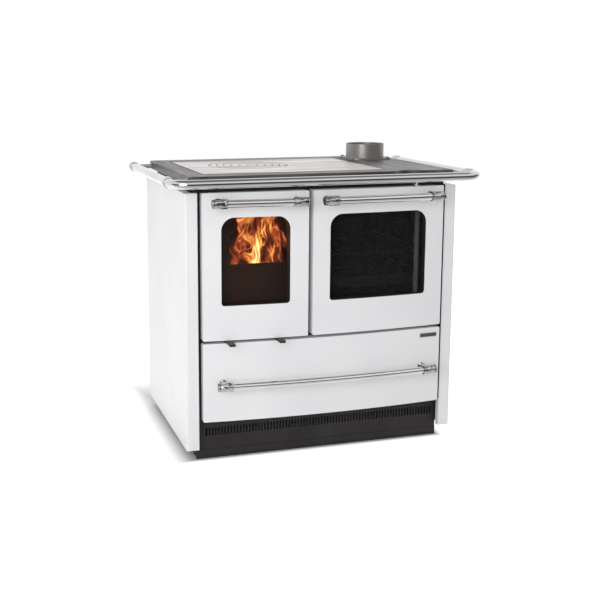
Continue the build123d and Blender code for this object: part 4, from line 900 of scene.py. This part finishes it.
def flames():
    """Sheets of flame at several depths behind the window."""
    window_low, window_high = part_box("fire_door_glass")
    guard_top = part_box("log_guard")[1]
    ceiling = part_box("air_wash_duct")[0][2] - FLAME_HEADROOM
    shape = bmesh.new()
    heat = shape.verts.layers.float.new(FLAME_LAYER)
    for depth, seed, share in FLAME_SHEETS:
        start = window_low[0] + FLAME_START + depth * FLAME_DRIFT
        end = window_high[0] - FLAME_END + depth * FLAME_DRIFT
        foot = guard_top[2] - depth * FLAME_SINK
        y = guard_top[1] + depth
        flame_sheet(shape, heat, (start, end), y, (foot, ceiling), seed, share)
    loose = [vertex for vertex in shape.verts if not vertex.link_faces]
    bmesh.ops.delete(shape, geom=loose, context="VERTS")
    piece("flames", shape, "flame", "stove")


# ---------------------------------------------------------------- blank plates
def rim(shape, low, high, across, along):
    """A thin raised rim round a plate that lies in the plane of two axes."""
    for axis in (across, along):
        for edge in (low[axis], high[axis] - BADGE_RIM):
            bar_low, bar_high = Vector(low), Vector(high)
            bar_low[axis] = edge
            bar_high[axis] = edge + BADGE_RIM
            slab(shape, bar_low, bar_high, BADGE_RIM * EDGE_SHARE)


def drawer_badge_rim():
    """Bright rim round the blank plate on the drawer, laid along the drawer's bow."""
    low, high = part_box("drawer_badge")
    shape = bmesh.new()
    rim(shape, low, high, 0, 2)
    points = [vertex.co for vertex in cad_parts["drawer_badge"].data.vertices]
    left_y = min(point[1] for point in points if point[0] < low[0] + BADGE_END)
    right_y = min(point[1] for point in points if point[0] > high[0] - BADGE_END)
    for vertex in shape.verts:
        share = (vertex.co[0] - low[0]) / (high[0] - low[0])
        face = left_y + (right_y - left_y) * share
        proud = vertex.co[1] < (low[1] + high[1]) / 2
        vertex.co[1] = face - BADGE_PROUD if proud else face + BADGE_PROUD
    piece("drawer_badge_rim", shape, "rim", "drawer", smooth=False)


def hob_badge():
    """Dark blank face with a rim, on the raised plate near the hob's front right corner."""
    hob_low, hob_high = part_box("hob_frame")
    x_high = hob_high[0] - BLANK_PLATE_IN[0]
    y_low = hob_low[1] + BLANK_PLATE_IN[1]
    low = (x_high - BLANK_PLATE[0], y_low, hob_high[2])
    high = (x_high, y_low + BLANK_PLATE[1], hob_high[2] + BLANK_PLATE_PROUD)
    face = bmesh.new()
    face_high = (*high[:2], low[2] + BLANK_PLATE_PROUD / 2)
    slab(face, low, face_high, BLANK_PLATE_PROUD * EDGE_SHARE)
    piece("hob_badge", face, "badge", "stove", smooth=False)
    edge = bmesh.new()
    rim(edge, low, high, 0, 1)
    piece("hob_badge_rim", edge, "rim", "stove", smooth=False)


# ---------------------------------------------------------------- painted shade in the seam and the gaps
def painted_plate_seam():
    """Dull black strips along the left and front edges of the loose hob plate: painted shade in the
    seam.
    """
    wide, proud = PAINTED_SEAM
    low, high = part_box("hob_plate")
    bottom, top = high[2] - proud, high[2] + proud
    shape = bmesh.new()
    left = (low[0] - wide, low[1] - wide, bottom), (low[0], high[1], top)
    front = (low[0], low[1] - wide, bottom), (high[0], low[1], top)
    for corners in (left, front):
        slab(shape, *corners, proud * EDGE_SHARE)
    piece("painted_plate_seam", shape, "painted_seam_shade", "stove", smooth=False)


def painted_gap_shade():
    """Thin black strips on the inner faces of the casing's front returns: painted shade in the gaps
    beside the doors.
    """
    thick, inset = GAP_SHADE_STRIP
    door_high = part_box("fire_door_panel")[1]
    drawer_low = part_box("drawer_front")[0]
    frame_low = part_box("front_frame")[0]
    shape = bmesh.new()
    for name, side in (("side_panel_left", 1), ("side_panel_right", -1)):
        low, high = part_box(name)
        face = high[0] if side > 0 else low[0]
        x_low, x_high = sorted((face, face + side * thick))
        corner = (x_low, low[1] + inset, drawer_low[2])
        slab(shape, corner, (x_high, frame_low[1] - inset, door_high[2]), thick * EDGE_SHARE)
    piece("painted_gap_shade", shape, "paint", "stove", smooth=False)


# ---------------------------------------------------------------- screws and clips
def back_screws():
    """Screws round the edge of the back sheet."""
    shape = bmesh.new()
    low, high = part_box("carcass_back")
    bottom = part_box("side_panel_left")[0][2] + BACK_SCREW_INSET
    columns = round((high[0] - low[0]) / BACK_SCREW_PITCH)
    rows = round((high[2] - bottom) / BACK_SCREW_PITCH)
    x_ends = low[0] + BACK_SCREW_INSET, high[0] - BACK_SCREW_INSET
    z_ends = bottom, high[2] - 2 * BACK_SCREW_INSET
    backward = (0, 1, 0)
    for index in range(columns + 1):
        x = x_ends[0] + (x_ends[1] - x_ends[0]) * index / columns
        for z in z_ends:
            screw(shape, (x, high[1], z), backward)
    for index in range(1, rows):
        z = z_ends[0] + (z_ends[1] - z_ends[0]) * index / rows
        for x in x_ends:
            screw(shape, (x, high[1], z), backward)
    piece("back_screws", shape, "zinc", "stove")


def glass_clips(door):
    """Four clips that hold a door's glass from behind."""
    low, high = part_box(f"{door}_glass")
    shape = bmesh.new()
    wide, thick, tall = CLIP_SIZE
    for x in (low[0] + CLIP_INSET, high[0] - CLIP_INSET):
        for z, side in ((low[2], -1), (high[2], 1)):
            inner = z - side * CLIP_LAP
            z_low, z_high = sorted((inner, inner + side * tall))
            corner = (x + wide / 2, high[1] + thick, z_high)
            slab(shape, (x - wide / 2, high[1], z_low), corner, CLIP_BEVEL)
    piece(f"{door}_glass_clips", shape, "zinc", door, smooth=False)


# ---------------------------------------------------------------- stage, light and camera
def direct_rays(tree, path):
    """One for rays from the camera, also through glass."""
    return combine(tree, "MAXIMUM", path["Is Camera Ray"], path["Is Transmission Ray"])


def outside_stove(tree, ground):
    """Nought under the stove, rising to one round it."""
    low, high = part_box("carcass_side_left")[0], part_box("carcass_side_right")[1]
    edges = []
    for axis, start, end in (("X", low[0], high[0]), ("Y", low[1], high[1])):
        before, after = UNDERSIDE_FADE[axis]
        edges.append(smooth_step(tree, ground[axis], start - before, start, 1.0, 0.0))
        edges.append(smooth_step(tree, ground[axis], end, end + after, 0.0, 1.0))
    outside = edges[0]
    for edge in edges[1:]:
        outside = combine(tree, "MAXIMUM", outside, edge)
    return outside


def floor_white():
    """Pale ground that gives off light to the camera, and to gloss only further back."""
    material = surface("floor_white", (FLOOR_TONE,) * 3, FLOOR_ROUGHNESS, specular=0.0)
    tree = material.node_tree
    shader = tree.nodes["Principled BSDF"]
    ground = axes(tree)
    path = tree.nodes.new("ShaderNodeLightPath").outputs
    far = smooth_step(tree, ground["Y"], *FLOOR_FAR_EDGE, FLOOR_FAR_TONE, FLOOR_TONE)
    plain = smooth_step(tree, path["Is Glossy Ray"], 0.0, 1.0, FLOOR_TONE, 0.0)
    tree.links.new(combine(tree, "MAXIMUM", far, plain), shader.inputs["Base Color"])
    mirrored = smooth_step(tree, ground["Y"], *FLOOR_LIFT_EDGE, 0.0, 1.0)
    glossy = combine(tree, "MULTIPLY", path["Is Glossy Ray"], mirrored)
    seen = combine(tree, "MAXIMUM", direct_rays(tree, path), glossy)
    lit = combine(tree, "MULTIPLY", seen, outside_stove(tree, ground))
    emission = tree.nodes.new("ShaderNodeEmission")
    tree.links.new(combine(tree, "MULTIPLY", lit, FLOOR_LIFT), emission.inputs["Strength"])
    both = tree.nodes.new("ShaderNodeAddShader")
    tree.links.new(shader.outputs["BSDF"], both.inputs[0])
    tree.links.new(emission.outputs["Emission"], both.inputs[1])
    tree.links.new(both.outputs["Shader"], tree.nodes["Material Output"].inputs["Surface"])
    return material


def stage_floor():
    """Pale floor that shows as white and keeps the object's shadow."""
    shape = bmesh.new()
    bmesh.ops.create_grid(shape, x_segments=1, y_segments=1, size=FLOOR_SIZE / 2)
    mesh = bpy.data.meshes.new("floor")
    shape.to_mesh(mesh)
    shape.free()
    mesh.materials.append(floor_white())
    floor = bpy.data.objects.new("floor", mesh)
    bpy.context.scene.collection.objects.link(floor)


def sky():
    """White to the camera and even for soft light; for gloss, bands and a backdrop as in a studio."""
    world = bpy.data.worlds.new("studio")
    bpy.context.scene.world = world
    world.use_nodes = True
    tree = world.node_tree
    tree.nodes.clear()
    direction = axes(tree, "Generated")
    path = tree.nodes.new("ShaderNodeLightPath").outputs
    bands = ramp(tree, direction["Z"], [(height, (level,) * 3) for height, level in STUDIO_BANDS])
    behind = smooth_step(tree, direction["Y"], *BACKDROP_EDGE, 0.0, 1.0)
    under_top = smooth_step(tree, direction["Z"], *BACKDROP_TOP, 1.0, 0.0)
    backdrop = combine(tree, "MULTIPLY", behind, under_top)
    mirrored = combine(tree, "MAXIMUM", bands, backdrop)
    unseen = blend(tree, path["Is Glossy Ray"], SKY_DIFFUSE, mirrored)
    strength = blend(tree, direct_rays(tree, path), unseen, 1.0)
    background = tree.nodes.new("ShaderNodeBackground")
    background.inputs["Color"].default_value = (1.0, 1.0, 1.0, 1.0)
    tree.links.new(strength, background.inputs["Strength"])
    output = tree.nodes.new("ShaderNodeOutputWorld")
    tree.links.new(background.outputs["Background"], output.inputs["Surface"])


def softbox(name, place, size, power, mirrored=True):
    """A round area lamp turned to the stove, seen in gloss or not."""
    lamp = bpy.data.lights.new(name, "AREA")
    lamp.shape = "DISK"
    lamp.size = size
    lamp.energy = power
    made = bpy.data.objects.new(name, lamp)
    made.location = place
    aim = Vector(LIGHT_AIM) - Vector(place)
    made.rotation_euler = aim.to_track_quat("-Z", "Y").to_euler()
    made.visible_glossy = mirrored
    bpy.context.scene.collection.objects.link(made)


def view_camera():
    """The camera at the photograph's angle."""
    data = bpy.data.cameras.new("camera")
    data.sensor_width = SENSOR
    data.lens = FOCAL_PIXELS / PHOTO_PIXELS * SENSOR
    data.shift_x, data.shift_y = SHIFT
    camera = bpy.data.objects.new("camera", data)
    camera.location = CAMERA_PLACE
    camera.rotation_euler = (math.radians(90 - CAMERA_DIP), 0.0, math.radians(-CAMERA_TURN))
    bpy.context.scene.collection.objects.link(camera)
    bpy.context.scene.camera = camera


# ---------------------------------------------------------------- the scene
logs()
flames()
embers()
drawer_badge_rim()
hob_badge()
painted_plate_seam()
painted_gap_shade()
back_screws()
for door in ("fire_door", "oven_door"):
    glass_clips(door)

stage_floor()
sky()
softbox("key_light", *KEY_LIGHT)
softbox("top_light", *TOP_LIGHT, mirrored=False)
view_camera()
bpy.context.scene.view_settings.view_transform = "Standard"
